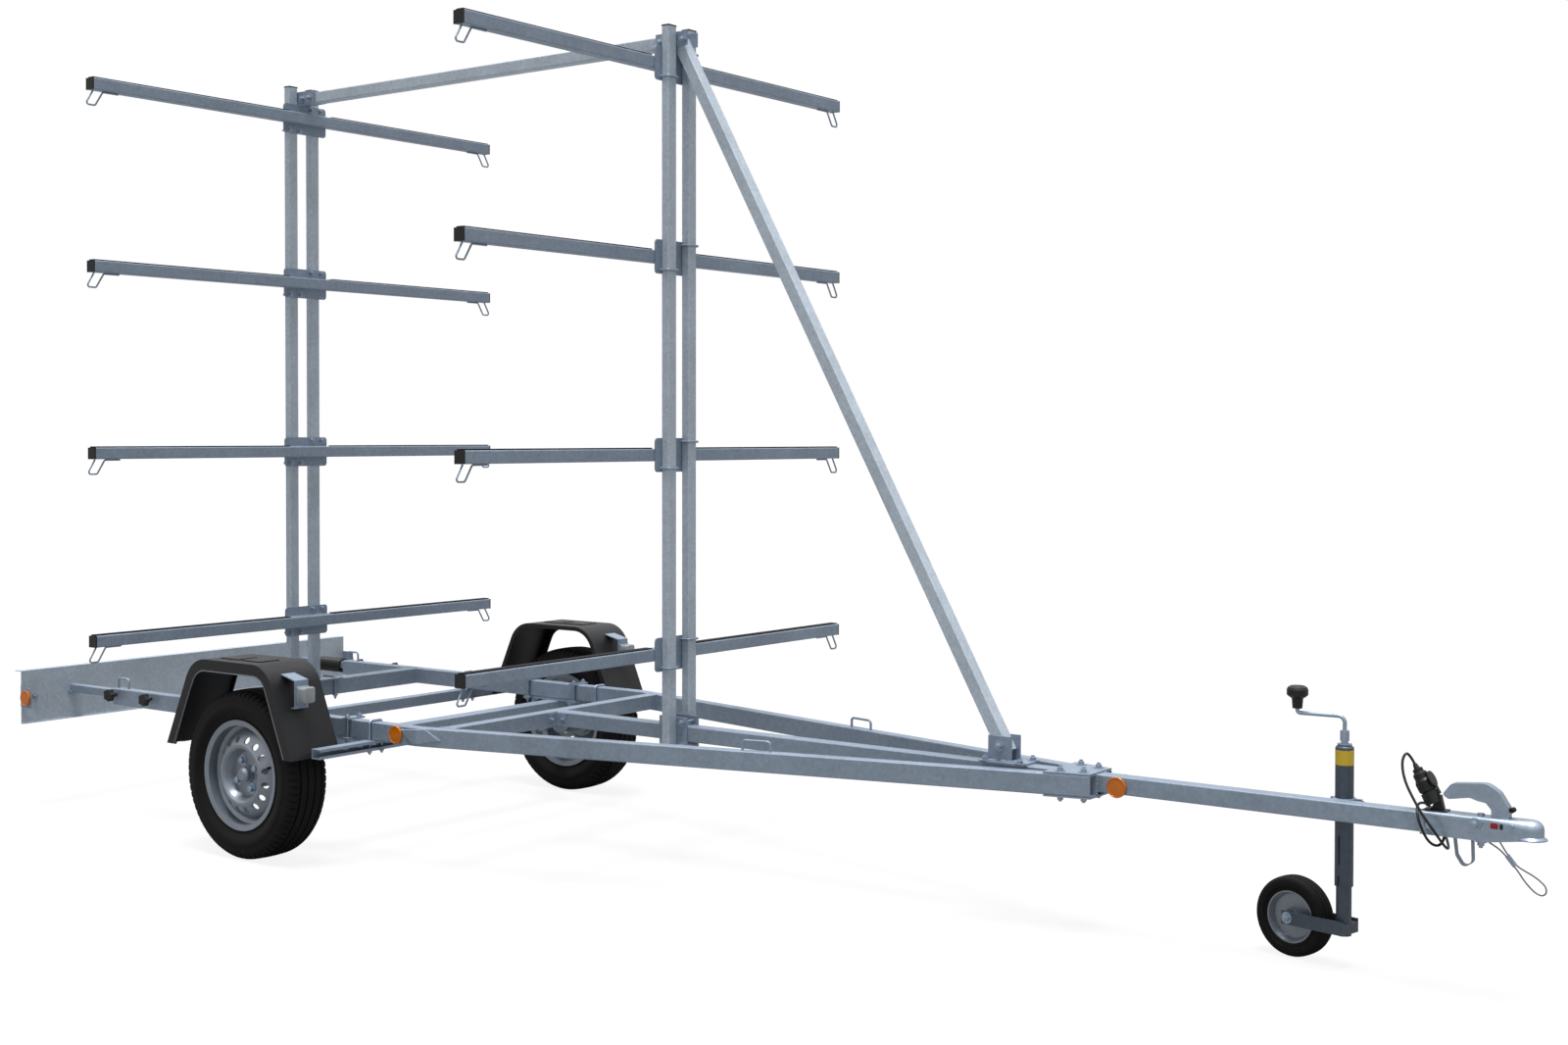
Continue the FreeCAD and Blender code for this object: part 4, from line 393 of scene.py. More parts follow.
def finished(name, mesh, material, body, crease=35):
    """Put a mesh in the scene at the origin, with its material and body."""
    if isinstance(mesh, bmesh.types.BMesh):
        mesh = outward(mesh, bpy.data.meshes.new(name))
    piece = shown(name, mesh)
    mesh.materials.clear()
    mesh.materials.append(MATERIALS[material])
    mesh.shade_smooth()
    mesh.set_sharp_from_angle(angle=math.radians(crease))
    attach(piece, body)
    return piece


# Geometry Nodes


SOCKETS = {float: "NodeSocketFloat", int: "NodeSocketInt", Vector: "NodeSocketVector"}


def new_tree(name, **sizes):
    """A geometry tree with an input for each size and its material, and its two ends."""
    tree = bpy.data.node_groups.new(name, "GeometryNodeTree")
    face = tree.interface
    face.new_socket("Geometry", in_out="INPUT", socket_type="NodeSocketGeometry")
    for label, value in sizes.items():
        socket = face.new_socket(label, in_out="INPUT", socket_type=SOCKETS[type(value)])
        socket.default_value = value
    face.new_socket("Material", in_out="INPUT", socket_type="NodeSocketMaterial")
    face.new_socket("Geometry", in_out="OUTPUT", socket_type="NodeSocketGeometry")
    return tree, add(tree, "NodeGroupInput").outputs, add(tree, "NodeGroupOutput")


def finish_tree(tree, given, leave, geometry):
    """End a tree in plain geometry with its material."""
    real = add(tree, "GeometryNodeRealizeInstances", {"Geometry": geometry})
    coated = add(tree, "GeometryNodeSetMaterial", {"Geometry": real,
                                                   "Material": given["Material"]})
    feed(tree, leave, {0: coated})
    return tree


def lifted(tree, geometry, height):
    """Move geometry up its own axis."""
    shift = add(tree, "ShaderNodeCombineXYZ", {"Z": height})
    return add(tree, "GeometryNodeTransform", {"Geometry": geometry, "Translation": shift})


def on_points(tree, points, shape):
    """Set a shape on each seed point, its Z along the point's own axis."""
    axis = add(tree, "GeometryNodeInputNamedAttribute", {"Name": "axis"},
               data_type="FLOAT_VECTOR")
    turn = add(tree, "FunctionNodeAlignRotationToVector", {"Vector": axis}, axis="Z")
    return add(tree, "GeometryNodeInstanceOnPoints", {"Points": points, "Instance": shape,
                                                      "Rotation": turn})


def hexagon(flats, height, washer, end):
    """Sizes of a hexagon head or nut: width across flats, height, washer and bolt's end."""
    return {"Flats": flats * MM, "Height": height * MM, "Washer": washer * MM,
            "End": end * MM}


SMALL_NUT, LARGE_NUT = hexagon(13, 6.5, 1.6, 4), hexagon(17, 8, 2, 5)
SMALL_SCREW, WHEEL_BOLT = hexagon(8, 3.5, 1, 0.5), hexagon(19.5, 11.5, 1.5, 0.6)


def fastener_tree():
    """A hexagon on its washer, with a chamfered top and the bolt's end, on every point."""
    tree, given, leave = new_tree("hexagon_fasteners", **SMALL_NUT)
    flats, height, washer, end = (given[k] for k in SMALL_NUT)
    top = ("ADD", washer, height)
    parts = []
    # Corners, radius as a share of the width across flats, depth and the middle's height
    for corners, share, depth, middle in (
            (20, 0.92, washer, ("MULTIPLY", washer, 0.5)),
            (6, 0.577, height, ("ADD", washer, ("MULTIPLY", height, 0.5))),
            (12, 0.3, end, ("ADD", top, ("MULTIPLY", end, 0.5)))):
        disc = add(tree, "GeometryNodeMeshCylinder", {
            "Vertices": corners, "Radius": ("MULTIPLY", flats, share), "Depth": depth})
        parts.append(lifted(tree, disc, middle))
    crown = add(tree, "GeometryNodeMeshCone", {
        "Vertices": 18, "Radius Bottom": ("MULTIPLY", flats, 0.5),
        "Radius Top": ("MULTIPLY", flats, 0.4), "Depth": ("MULTIPLY", height, 0.12)})
    parts.insert(2, lifted(tree, crown, top))
    joined = add(tree, "GeometryNodeJoinGeometry", {"Geometry": parts})
    return finish_tree(tree, given, leave, on_points(tree, given["Geometry"], joined))


def weld_tree():
    """Overlapping scales of a weld bead along the seed's edges."""
    tree, given, leave = new_tree("weld_beads", Width=6 * MM, Pitch=3.5 * MM)
    line = add(tree, "GeometryNodeMeshToCurve", {"Mesh": given["Geometry"]})
    points = add(tree, "GeometryNodeCurveToPoints", {"Curve": line, "Length": given["Pitch"]},
                 mode="LENGTH").outputs
    scale = add(tree, "GeometryNodeMeshUVSphere", {
        "Segments": 7, "Rings": 4, "Radius": ("MULTIPLY", given["Width"], 0.5)})
    swell = add(tree, "FunctionNodeRandomValue", {2: 0.82, 3: 1.12, "Seed": 7},
                data_type="FLOAT").outputs[1]
    beads = add(tree, "GeometryNodeInstanceOnPoints", {
        "Points": points["Points"], "Instance": scale, "Rotation": points["Rotation"],
        "Scale": swell})
    return finish_tree(tree, given, leave, beads)


def ring_tree():
    """Repeat a sector about the Y direction, close the seams and put the ring in place."""
    tree, given, leave = new_tree("ring_of_sectors", Sectors=60, Centre=Vector((0, 0, 0)),
                                  Turn=0.0)
    line = add(tree, "GeometryNodeMeshLine", {"Count": given["Sectors"], "Offset": (0, 0, 0)})
    index = add(tree, "GeometryNodeInputIndex")
    step = ("DIVIDE", 2 * math.pi, given["Sectors"])
    turn = add(tree, "ShaderNodeCombineXYZ", {"Y": ("MULTIPLY", index, step)})
    rotation = add(tree, "FunctionNodeEulerToRotation", {0: turn})
    copies = add(tree, "GeometryNodeInstanceOnPoints", {
        "Points": line, "Instance": given["Geometry"], "Rotation": rotation})
    real = add(tree, "GeometryNodeRealizeInstances", {"Geometry": copies})
    seamless = add(tree, "GeometryNodeMergeByDistance", {"Geometry": real,
                                                         "Distance": 0.02 * MM})
    swing = add(tree, "ShaderNodeCombineXYZ", {"Z": given["Turn"]})
    placed = add(tree, "GeometryNodeTransform", {
        "Geometry": seamless, "Translation": given["Centre"], "Rotation": swing})
    return finish_tree(tree, given, leave, placed)


def rib_tree():
    """Slim ribs round the seed's axis, as on the grip of a plug."""
    tree, given, leave = new_tree("grip_ribs", Ribs=22, Radius=21 * MM, Long=22 * MM,
                                  Thick=2.4 * MM)
    ring = add(tree, "GeometryNodeMeshCircle", {"Vertices": given["Ribs"],
                                                "Radius": given["Radius"]})
    rib = add(tree, "GeometryNodeMeshCylinder", {
        "Vertices": 8, "Radius": ("MULTIPLY", given["Thick"], 0.5), "Depth": given["Long"]})
    ribs = add(tree, "GeometryNodeInstanceOnPoints", {"Points": ring, "Instance": rib})
    return finish_tree(tree, given, leave, on_points(tree, given["Geometry"], ribs))


def seeds(places):
    """Loose points in millimetres, each with its direction."""
    mesh = bpy.data.meshes.new("seeds")
    mesh.from_pydata([at(*place) for place, _ in places], [], [])
    axis = mesh.attributes.new("axis", "FLOAT_VECTOR", "POINT")
    axis.data.foreach_set("vector", [c for _, way in places for c in Vector(way).normalized()])
    return mesh


def lines(paths):
    """Open runs of points in millimetres as edges."""
    points, edges = [], []
    for path in paths:
        first = len(points)
        points += [at(*p) for p in path]
        edges += [(i, i + 1) for i in range(first, len(points) - 1)]
    mesh = bpy.data.meshes.new("lines")
    mesh.from_pydata(points, edges, [])
    return mesh


def grown(name, mesh, tree, values, material, body, crease=35):
    """Run a geometry tree on a seed mesh and keep its result as a plain mesh."""
    holder = shown("seed", mesh)
    modifier = holder.modifiers.new("grow", "NODES")
    modifier.node_group = tree
    values = dict(values, Material=MATERIALS[material])
    for item in tree.interface.items_tree:
        if item.in_out == "INPUT" and item.name in values:
            modifier[item.identifier] = values[item.name]
    result = as_mesh(holder)
    bpy.data.objects.remove(holder)
    if not result.polygons:
        raise RuntimeError(f"{name}: the tree made no faces")
    return finished(name, result, material, body, crease)


# Cords


def route(points):
    """Route points in millimetres to the row frame in metres."""
    return [at(*point) for point in points]


def round_curve(name, kind, points, radius, rounds):
    """A round bar along points. Its radius is on its points, so its bounds hold it."""
    curve = bpy.data.curves.new(name, "CURVE")
    curve.dimensions = "3D"
    curve.bevel_depth = 1
    curve.bevel_resolution = rounds
    curve.use_fill_caps = True
    spline = curve.splines.new(kind)
    spline.points.add(len(points) - 1)
    for slot, point in zip(spline.points, points):
        slot.co = (*point, 1)
        slot.radius = radius
    return curve, spline


def lead(name, points, diameter, material, body, node, steps=8):
    """A smooth lead along its route, in the place of its node."""
    curve, spline = round_curve(name, "NURBS", points, diameter / 2, 3)
    curve.resolution_u = steps
    spline.order_u = 3
    spline.use_endpoint_u = True
    curve.materials.append(MATERIALS[material])
    piece = shown(name, curve)
    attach(piece, body)
    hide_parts(node)
    return piece


def curve_length(piece):
    """Length of a curve along its own evaluated line."""
    piece.data.bevel_depth = 0
    bpy.context.view_layer.update()
    line = as_mesh(piece)
    far = sum((line.vertices[a].co - line.vertices[b].co).length
              for a, b in (edge.vertices for edge in line.edges))
    bpy.data.meshes.remove(line)
    piece.data.bevel_depth = 1
    return far


PLUG_LEAN = math.radians(28.7)
PLUG_FOOT = Vector((3616, 0, 472))
PLUG_UP = Vector((-math.sin(PLUG_LEAN), 0, math.cos(PLUG_LEAN)))
PLUG_END = PLUG_FOOT + PLUG_UP * 107
CABLE_ROUTE = [(3640, 0, 396), (3640, 0, 380), (3632, -24, 368), (3617, -45, 380),
               (3602, -51, 408), (3589, -47, 440), (3580, -28, 463), (3578, 2, 469),
               (3586, 32, 463), (3600, 50, 440), (3617, 52, 408), (3634, 40, 378),
               (3648, 12, 363), (3655, -20, 364), (3652, -46, 380), (3638, -58, 406),
               (3618, -62, 434), (3597, -60, 462), (3576, -52, 492), (3557, -43, 522),
               (3545, -32, 551), (3540, -19, 577), (3546, -6, 594),
               PLUG_END + PLUG_UP * 15, PLUG_END]
ROPE_ROUTE = [(3749, 0, 390), (3770, 0, 380), (3791, 0, 361.3), (3811, 0, 337.3),
              (3822, 3, 322), (3832, 8, 304), (3847, 14, 285), (3859, 18, 274),
              (3872.5, 21, 270), (3881, 22, 278), (3880, 21.7, 292), (3870, 19, 304),
              (3852, 14, 318), (3835, 7, 328), (3815, 0, 340.7), (3795, 0, 364.7),
              (3781, 0, 385), (3769, 0, 405.9)]
CURL_BACK, CURL_Z, CURL_R = -1246, 426.2, 30
CURL_TURNS, CURL_STEPS, CURL_PITCH = 19, 12, 7.35
CURL_LOW = CURL_Z - 26.5
CURL_RUN = [(BOARD_X, 540, CURL_LOW - 7), (-1333, 540, CURL_LOW - 7),
            (-1306, 545, CURL_LOW - 7), (-1276, 550, CURL_LOW), (-1256, 550, CURL_LOW)]


def curl_route(wire):
    """Run from the board, the turns round the carrier and the end inside its tube."""
    start = CURL_BACK + wire / 2 + 0.5
    radius = (CURL_R - wire / 2 - 0.2) / math.cos(math.pi / CURL_STEPS)
    points = list(CURL_RUN)
    for i in range(CURL_TURNS * CURL_STEPS + 1):
        angle = -math.pi / 2 - 2 * math.pi * i / CURL_STEPS
        points.append((start + CURL_PITCH * i / CURL_STEPS, RAIL_Y + radius * math.cos(angle),
                       CURL_Z + radius * math.sin(angle)))
    x = points[-1][0] + 1.5
    points += [(x, RAIL_Y - 9, CURL_Z - 24), (x + 0.5, RAIL_Y - 14, CURL_Z - 17),
               (x + 1, RAIL_Y - 12, CURL_Z - 12)]
    return points


# Operators and the pieces they build


def seen(tree):
    """1 for rays that show the backdrop: camera and transmission rays."""
    rays = add(tree, "ShaderNodeLightPath").outputs
    return ("MAXIMUM", rays["Is Camera Ray"], rays["Is Transmission Ray"])


def floor():
    """Grey floor that throws little light back. Where it is seen, a white glow covers most
    of it and leaves a faint shadow."""
    mesh = bpy.data.meshes.new("floor")
    reach = 90
    mesh.from_pydata([(-reach, -reach, 0), (reach, -reach, 0), (reach, reach, 0),
                      (-reach, reach, 0)], [], [(0, 1, 2, 3)])
    shown("floor", mesh)
    material, tree, shader = new_material("pale_floor", linear("#9A9A9A"), 0, 0.9)
    glow = add(tree, "ShaderNodeEmission", {"Color": WHITE, "Strength": 1.26})
    blend = add(tree, "ShaderNodeMixShader", {0: between(0, 0.7, seen(tree)), 1: shader,
                                              2: glow})
    feed(tree, tree.nodes["Material Output"], {"Surface": blend})
    mesh.materials.append(material)


def lights(context):
    """White behind the trailer, a dim room on it, a brighter dome in its gloss, and one
    soft light from above."""
    world = bpy.data.worlds.new("studio")
    context.scene.world = world
    world.use_nodes = True
    tree = world.node_tree
    tree.nodes.clear()
    way = add(tree, "ShaderNodeTexCoord").outputs["Generated"]
    height = add(tree, "ShaderNodeSeparateXYZ", {0: way}).outputs["Z"]
    dome = add(tree, "ShaderNodeMapRange", {
        "Value": height, "From Min": -0.1, "From Max": 0.9, "To Min": 0.2, "To Max": 1.5})
    glossy = add(tree, "ShaderNodeLightPath").outputs["Is Glossy Ray"]
    lit = add(tree, "ShaderNodeMix", {"Factor": glossy, "A": 0.27, "B": dome})
    level = add(tree, "ShaderNodeMix", {"Factor": seen(tree), "A": lit, "B": 1.0})
    sky = add(tree, "ShaderNodeBackground", {"Color": WHITE, "Strength": level})
    add(tree, "ShaderNodeOutputWorld", {"Surface": sky})
    for name, way, strength, softness in (("key", (-0.06, 0.12, -1.0), 3.9, 24),
                                          ("fill", (-0.2, 0.8, -0.3), 0.1, 60)):
        data = bpy.data.lights.new(name, "SUN")
        data.energy = strength
        data.angle = math.radians(softness)
        lamp = shown(name, data)
        lamp.rotation_euler = Vector(way).to_track_quat("-Z", "Y").to_euler()


class TRAILER_OT_stage(bpy.types.Operator):
    """Camera at the photograph's place, pale floor and plain soft light"""
    bl_idname = "trailer.stage"
    bl_label = "Stage and camera"

    def execute(self, context):
        # Lens, shift, place and turn are solved from the frame's tubes in the photograph
        camera = bpy.data.cameras.new("camera")
        camera.sensor_width = 36
        camera.lens = 44.15
        camera.shift_y = -0.0332
        camera.clip_end = 200
        holder = shown("camera", camera)
        holder.location = (5.1483 + SHIFT, -4.8336, 1.39)
        holder.rotation_euler = (math.radians(90 - 1.035), math.radians(-0.057),
                                 math.radians(36.352))
        context.scene.camera = holder
        floor()
        lights(context)
        return {"FINISHED"}


class TRAILER_OT_finishes(bpy.types.Operator):
    """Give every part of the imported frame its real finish"""
    bl_idname = "trailer.finishes"
    bl_label = "Finishes of the frame"

    def execute(self, context):
        make_materials(context.scene.trailer_colours, context.scene.trailer_sizes.spangle)
        for finish, names in FINISHES.items():
            for name in names:
                for slot in NODES[name].material_slots:
                    slot.material = MATERIALS[finish]
        return {"FINISHED"}


class TRAILER_OT_leads(bpy.types.Operator):
    """Connecting cable round the drawbar, looped safety rope and curly lead"""
    bl_idname = "trailer.leads"
    bl_label = "Cable, rope and curly lead"

    def execute(self, context):
        sizes = context.scene.trailer_sizes
        ribs = grown("plug_ribs", seeds([(PLUG_FOOT + PLUG_UP * 47, PLUG_UP)]),
                     rib_tree(), {}, "plastic", "frame")
        points = route(CABLE_ROUTE)
        cable = lead("connecting_lead", points, sizes.cable, "cable", "frame",
                     "connecting_cable")
        curve_length(cable)
        points = route(ROPE_ROUTE)
        rope = lead("breakaway_rope", points, sizes.rope, "rope", "frame",
                    "safety_rope")
        curve_length(rope)
        points = route(curl_route(sizes.curl / MM))
        curl = lead("curly_cord", points, sizes.curl, "cable", "light_board",
                    "curly_lead", 4)
        curve_length(curl)
        return {"FINISHED"}


def mirrored(side):
    """A tyre's outer line from bead to bead, from one half that ends at the middle."""
    return [(r, -w) for r, w in side] + [(r, w) for r, w in side[-2::-1]]


def sector(sections, turns):
    """One sector of a tyre, from its section at each turn about the axle."""
    mesh = bmesh.new()
    bridge(mesh, [[mesh.verts.new((r * MM * math.sin(turn), w * MM, r * MM * math.cos(turn)))
                   for r, w in section] for section, turn in zip(sections, turns)])
    return outward(mesh, bpy.data.meshes.new("sector"))


def road_sector(angle, groove):
    """Section with a rim guard, four grooves and one sipe in each shoulder block."""
    radius, half, bead, seat, wall, sipe = 278, 80, 168, 60.5, 9, 4.5
    mid = (radius + bead) / 2
    side = [(bead, seat), (bead + 9, seat + 1), (bead + 15, seat + 3.5),
            (bead + 18, seat + 3.5), (bead + 21, seat + 6), (mid - 14, half - 4),
            (mid - 12, half - 2.2), (mid, half - 0.6), (mid + 9, half - 0.8),
            (mid + 11, half - 2.2), (radius - 32, half * 0.965), (radius - 24, half * 0.945),
            (radius - 15, half * 0.89), (radius - 9, half * 0.83), (radius - 5, half * 0.76),
            (radius - 2.6, half * 0.68)]
    # Across the crown: share of half the width, and depth below its curve
    crown = [(0.60, 0), (0.54, groove), (0.49, groove), (0.48, 0), (0.22, 0),
             (0.21, groove), (0.155, groove), (0.145, 0), (0.0, 0)]
    side += [(radius - 2.2 * (w / 0.68) ** 2 - deep, half * w) for w, deep in crown]
    inner = [(bead, seat - 12), (bead + 18, seat - 9), (mid, half - wall),
             (radius - 30, half - wall - 4), (radius - 16, half * 0.5)]
    plain = mirrored(side) + inner + [(r, -w) for r, w in inner[::-1]]
    cut = [(r - sipe if abs(w) > half * 0.62 and r > radius - 16 else r, w) for r, w in plain]
    turns = [angle * share for share in (0, 0.34, 0.40, 0.60, 0.66, 1.0)]
    return sector([plain, plain, cut, cut, plain, plain], turns)


def small_sector(angle):
    """Solid rubber section with three fine ribs round its tread."""
    radius, half, bead, deep = 107.5, 30, 70, 2.2
    side = [(bead, half * 0.72), (bead + 6, half * 0.86), (bead + 9, half * 0.82),
            (bead + 12, half * 0.95), (radius - 14, half), (radius - 7, half * 0.93),
            (radius - 3, half * 0.78), (radius - 1, half * 0.6),
            (radius - 0.6, half * 0.5), (radius - 0.6 - deep, half * 0.46),
            (radius - 0.6 - deep, half * 0.38), (radius - 0.2, half * 0.34),
            (radius, half * 0.12), (radius - deep, half * 0.08), (radius - deep, 0)]
    return sector([mirrored(side)] * 3, [0, angle / 2, angle])


class TRAILER_OT_tyres(bpy.types.Operator):
    """Road tyres with grooves and shoulder sipes, and the jockey wheel's ribbed tyre"""
    bl_idname = "trailer.tyres"
    bl_label = "Tyres"

    def execute(self, context):
        tree = ring_tree()
        blocks, ribs = 72, 36
        road = road_sector(2 * math.pi / blocks, context.scene.trailer_sizes.groove / MM)
        small = small_sector(2 * math.pi / ribs)
        for name, seed, count, centre, turn, body, slot, node in (
                ("right_tyre", road, blocks, at(0, -HALF_TRACK, WHEEL_Z), 0.0, "wheel_right",
                 "tyre_rubber", "tyre_right"),
                ("left_tyre", road, blocks, at(0, HALF_TRACK, WHEEL_Z), 0.0, "wheel_left",
                 "tyre_rubber", "tyre_left"),
                ("small_tyre", small, ribs, at(*JOCKEY_HUB), FORK_TURN, "jockey_wheel",
                 "grey_rubber", "jockey_tyre")):
            values = {"Sectors": count, "Centre": centre, "Turn": turn}
            tyre = grown(name, seed, tree, values, "tyre", body, 40)
            ring = bmesh.new()
            ring.from_mesh(tyre.data)
            outward(ring, tyre.data)
            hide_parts(node)
        return {"FINISHED"}


def both(places):
    """The same places on the right and on the left, with their directions mirrored."""
    return [((x, s * y, z), (a, s * b, c)) for (x, y, z), (a, b, c) in places for s in SIDES]


def clamp_faces():
    """Height, face and direction of every arm's clamp on a pair of posts."""
    return [(level, post + way * POST_HALF, way) for level in LEVELS
            for post, way in ((REAR_POST, 1), (FRONT_POST, -1))]


def v_face(x):
    """How far out the inner face of a V rail is."""
    return RAIL_IN - (x - BEND_X) * V_SLOPE


def clamp_nuts():
    """Two nuts on each U-bolt that holds an arm's plate to a post: under the arm on the
    right post and over it on the left."""
    return [((face, s * POST_Y + leg, level - ARM_TALL / 2 + s * 43), (way, 0, 0))
            for level, face, way in clamp_faces() for s in SIDES for leg in (-24, 24)]


def frame_nuts():
    """Nuts of the saddles, of the rails' U-bolts and of the rear post base."""
    legs = (-26, 26)
    places = [((x, RAIL_Y + leg, z), (0, 0, way)) for x in (-15, 222) for leg in legs
              for z, way in ((DECK + 5, 1), (RAIL_LOW - 8, -1))]
    places += [((x, RAIL_Y + leg, RAIL_LOW - low), (0, 0, -1))
               for x, low in ((-370, 40), (330, 32)) for leg in legs]
    places += [((-670 + leg, 105, RAIL_LOW), (0, 0, -1)) for leg in (-34, 34)]
    places += [((655, 56, 425), (1, 0, 0)), ((680, 30, 425), (0, 1, 0))]
    return both(places)


def frame_bolts():
    """Larger bolts of the clamp, the braces, the V joint and the coupling."""
    places = [((FRONT_POST + dx, 31, z), (0, 1, 0)) for dx in (-38, 38) for z in (462, 388)]
    places += [((x, 28.5, 2664), (0, 1, 0)) for x in (1112, 1206, -655, -618)]
    places += [((2382, 28.5, 500), (0, 1, 0))]
    places += [((x, 38, DECK + 6), (0, 0, 1)) for x in (2340, 2454)]
    places += [((x, y, z), (0, 0, way)) for x, y in ((2660, 45), (2596, 62))
               for z, way in ((DECK + 5, 1), (RAIL_LOW - 5, -1))]
    places += [((3612, 29.3, 419), (0, 1, 0)), ((3724, 29.3, 437), (0, 1, 0))]
    clamp = [((3395.3, JOCKEY.y + s * 14, 425), (0, s, 0)) for s in SIDES]
    return both(places) + clamp


def lamp_screws():
    """Small screws of the front lamps' brackets."""
    return both([((242, LAMP_Y + dy, 520), (1, 0, 0)) for dy in (-17, 17)])


def board_bolts():
    """Heads behind the panel at the carriers and nuts before it at the lamps."""
    places = [((BOARD_BACK, RAIL_Y + dy, 429), (-1, 0, 0)) for dy in (-26, 26)]
    places += [((BOARD_X, 640 + dy, 414), (1, 0, 0)) for dy in (-75, 75)]
    return both(places)


def fork_nuts():
    """Nuts on the jockey wheel's axle."""
    across = Vector((-math.sin(FORK_TURN), math.cos(FORK_TURN), 0))
    return [(JOCKEY_HUB + across * (38 * s), across * s) for s in SIDES]


class TRAILER_OT_fasteners(bpy.types.Operator):
    """Hexagon bolts and nuts of the frame, the light board and the jockey wheel"""
    bl_idname = "trailer.fasteners"
    bl_label = "Bolts and nuts"

    def execute(self, context):
        tree = fastener_tree()
        for name, places, values, body in (
                ("clamp_nuts", clamp_nuts(), SMALL_NUT, "frame"),
                ("frame_nuts", frame_nuts(), SMALL_NUT, "frame"),
                ("frame_bolts", frame_bolts(), LARGE_NUT, "frame"),
                ("lamp_screws", lamp_screws(), SMALL_SCREW, "frame"),
                ("board_bolts", board_bolts(), SMALL_NUT, "light_board"),
                ("fork_nuts", fork_nuts(), LARGE_NUT, "jockey_leg")):
            grown(name, seeds(places), tree, values, "plated", body, 30)
        return {"FINISHED"}


def frame_runs(s):
    """Beads of one side: crossbeams in the rails, the V joint, the post's foot, the
    brace's foot and the plate round the rail's bend."""
    low, high, foot = RAIL_LOW + 4, DECK - 1, DECK + 7
    uprights = [(-701, RAIL_IN, low), (-639, RAIL_IN, low), (600, v_face(600), low + 10),
                (650, v_face(650), low + 10), (2691, 25, low)]
    runs = [[(x, s * y, z), (x, s * y, high)] for x, y, z in uprights]
    runs.insert(2, [(x, s * RAIL_IN, DECK) for x in (-699, -641)])
    runs.insert(5, [(x, s * v_face(x), DECK) for x in (602, 648)])
    runs += [[(-710, s * y, foot), (-680, s * y, foot)] for y in (31, 71)]
    runs += [[(x, s * 32, foot), (x, s * 70, foot)] for x in (-710, -680)]
    runs.append([(2344, s * 29, foot), (2420, s * 29, foot)])
    turn = BEND_X + 4.6
    plate = [(turn - 68, 437), (turn, 443.1), (turn + 32, 446), (turn + 87, 414),
             (turn, 398.6), (turn - 15, 396), (turn - 68, 437)]
    runs.append([(x, s * (RAIL_Y + 20.5 - max(0, x - turn) * V_SLOPE), z)
                 for x, z in plate])
    return runs


class TRAILER_OT_welds(bpy.types.Operator):
    """Weld beads at the joints of the frame and of the arms"""
    bl_idname = "trailer.welds"
    bl_label = "Weld beads"

    def execute(self, context):
        values = {"Width": context.scene.trailer_sizes.bead}
        runs = [[(face, -90, z), (face, 90, z)] for level, face, _ in clamp_faces()
                for z in (level, level - ARM_TALL)]
        for s in SIDES:
            runs += frame_runs(s)
        grown("frame_welds", lines(runs), weld_tree(), values, "galvanised", "frame",
              60)
        return {"FINISHED"}


def rear_lamps():
    """Black housing with a brake, a turn and a plain chamber on each side."""
    housing, red, amber, clear = (bmesh.new() for _ in range(4))
    wide, middle = 220, (316 + 513) / 2
    for s in SIDES:
        y = s * (BOARD_Y - 20 - wide / 2)
        block(housing, (wide, 96, 22), 10, 1.5, (BOARD_BACK, y, middle), (-1, 0, 0))
        for mesh, inward, width in ((red, 62, 88), (amber, -22, 72), (clear, -83, 42)):
            block(mesh, (width, 88, 24.9), 6, 3.5,
                  (BOARD_BACK - 22, y - s * inward, middle), (-1, 0, 0))
    lamp = finished("lamp_housings", housing, "plastic", "light_board")
    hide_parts("rear_lamps")
    finished("brake_lenses", red, "red", "light_board")
    finished("turn_lenses", amber, "amber", "light_board")
    finished("reversing_lenses", clear, "clear", "light_board")


def front_lamps():
    """White backing and clear domed lens of the position lamps."""
    base, glass = bmesh.new(), bmesh.new()
    for s in SIDES:
        block(base, (48, 54, 9), 4, 1, (242, s * LAMP_Y, 557), (1, 0, 0))
        block(glass, (46, 52, 32.5), 9, 5, (251, s * LAMP_Y, 557), (1, 0, 0))
    backing = finished("lamp_bases", base, "plated", "frame")
    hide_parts("position_lamps")
    finished("position_lenses", glass, "clear", "frame")


def reflectors():
    """Round amber reflectors with a raised rim, on the rails, the drawbar and the board."""
    rails, ends, ears = bmesh.new(), bmesh.new(), bmesh.new()
    disc = [(0, 0), (28.6, 0), (29, 0.8), (29, 6.2), (28.2, 7.4), (27, 7.8), (26, 7.2),
            (25.4, 6.2), (18, 6.8), (9, 7.1), (0, 7.2)]
    thinner = [(r, h * 0.88) for r, h in disc]
    for s in SIDES:
        for x, face in ((451, 570), (2752, 25)):
            lathe(rails, disc, (x, s * face, 420), (0, s, 0))
        block(ears, (62, 72, 3), 4, 0, (BOARD_X + 31, s * (BOARD_Y - 3), 414), (0, s, 0))
        lathe(ends, thinner, (BOARD_X + 30, s * BOARD_Y, 414), (0, s, 0))
    amber = finished("rail_reflectors", rails, "amber", "frame", 30)
    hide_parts("side_reflectors")
    ear = finished("reflector_ears", ears, "galvanised", "light_board")
    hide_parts("board_reflectors")
    finished("end_reflectors", ends, "amber", "light_board", 30)


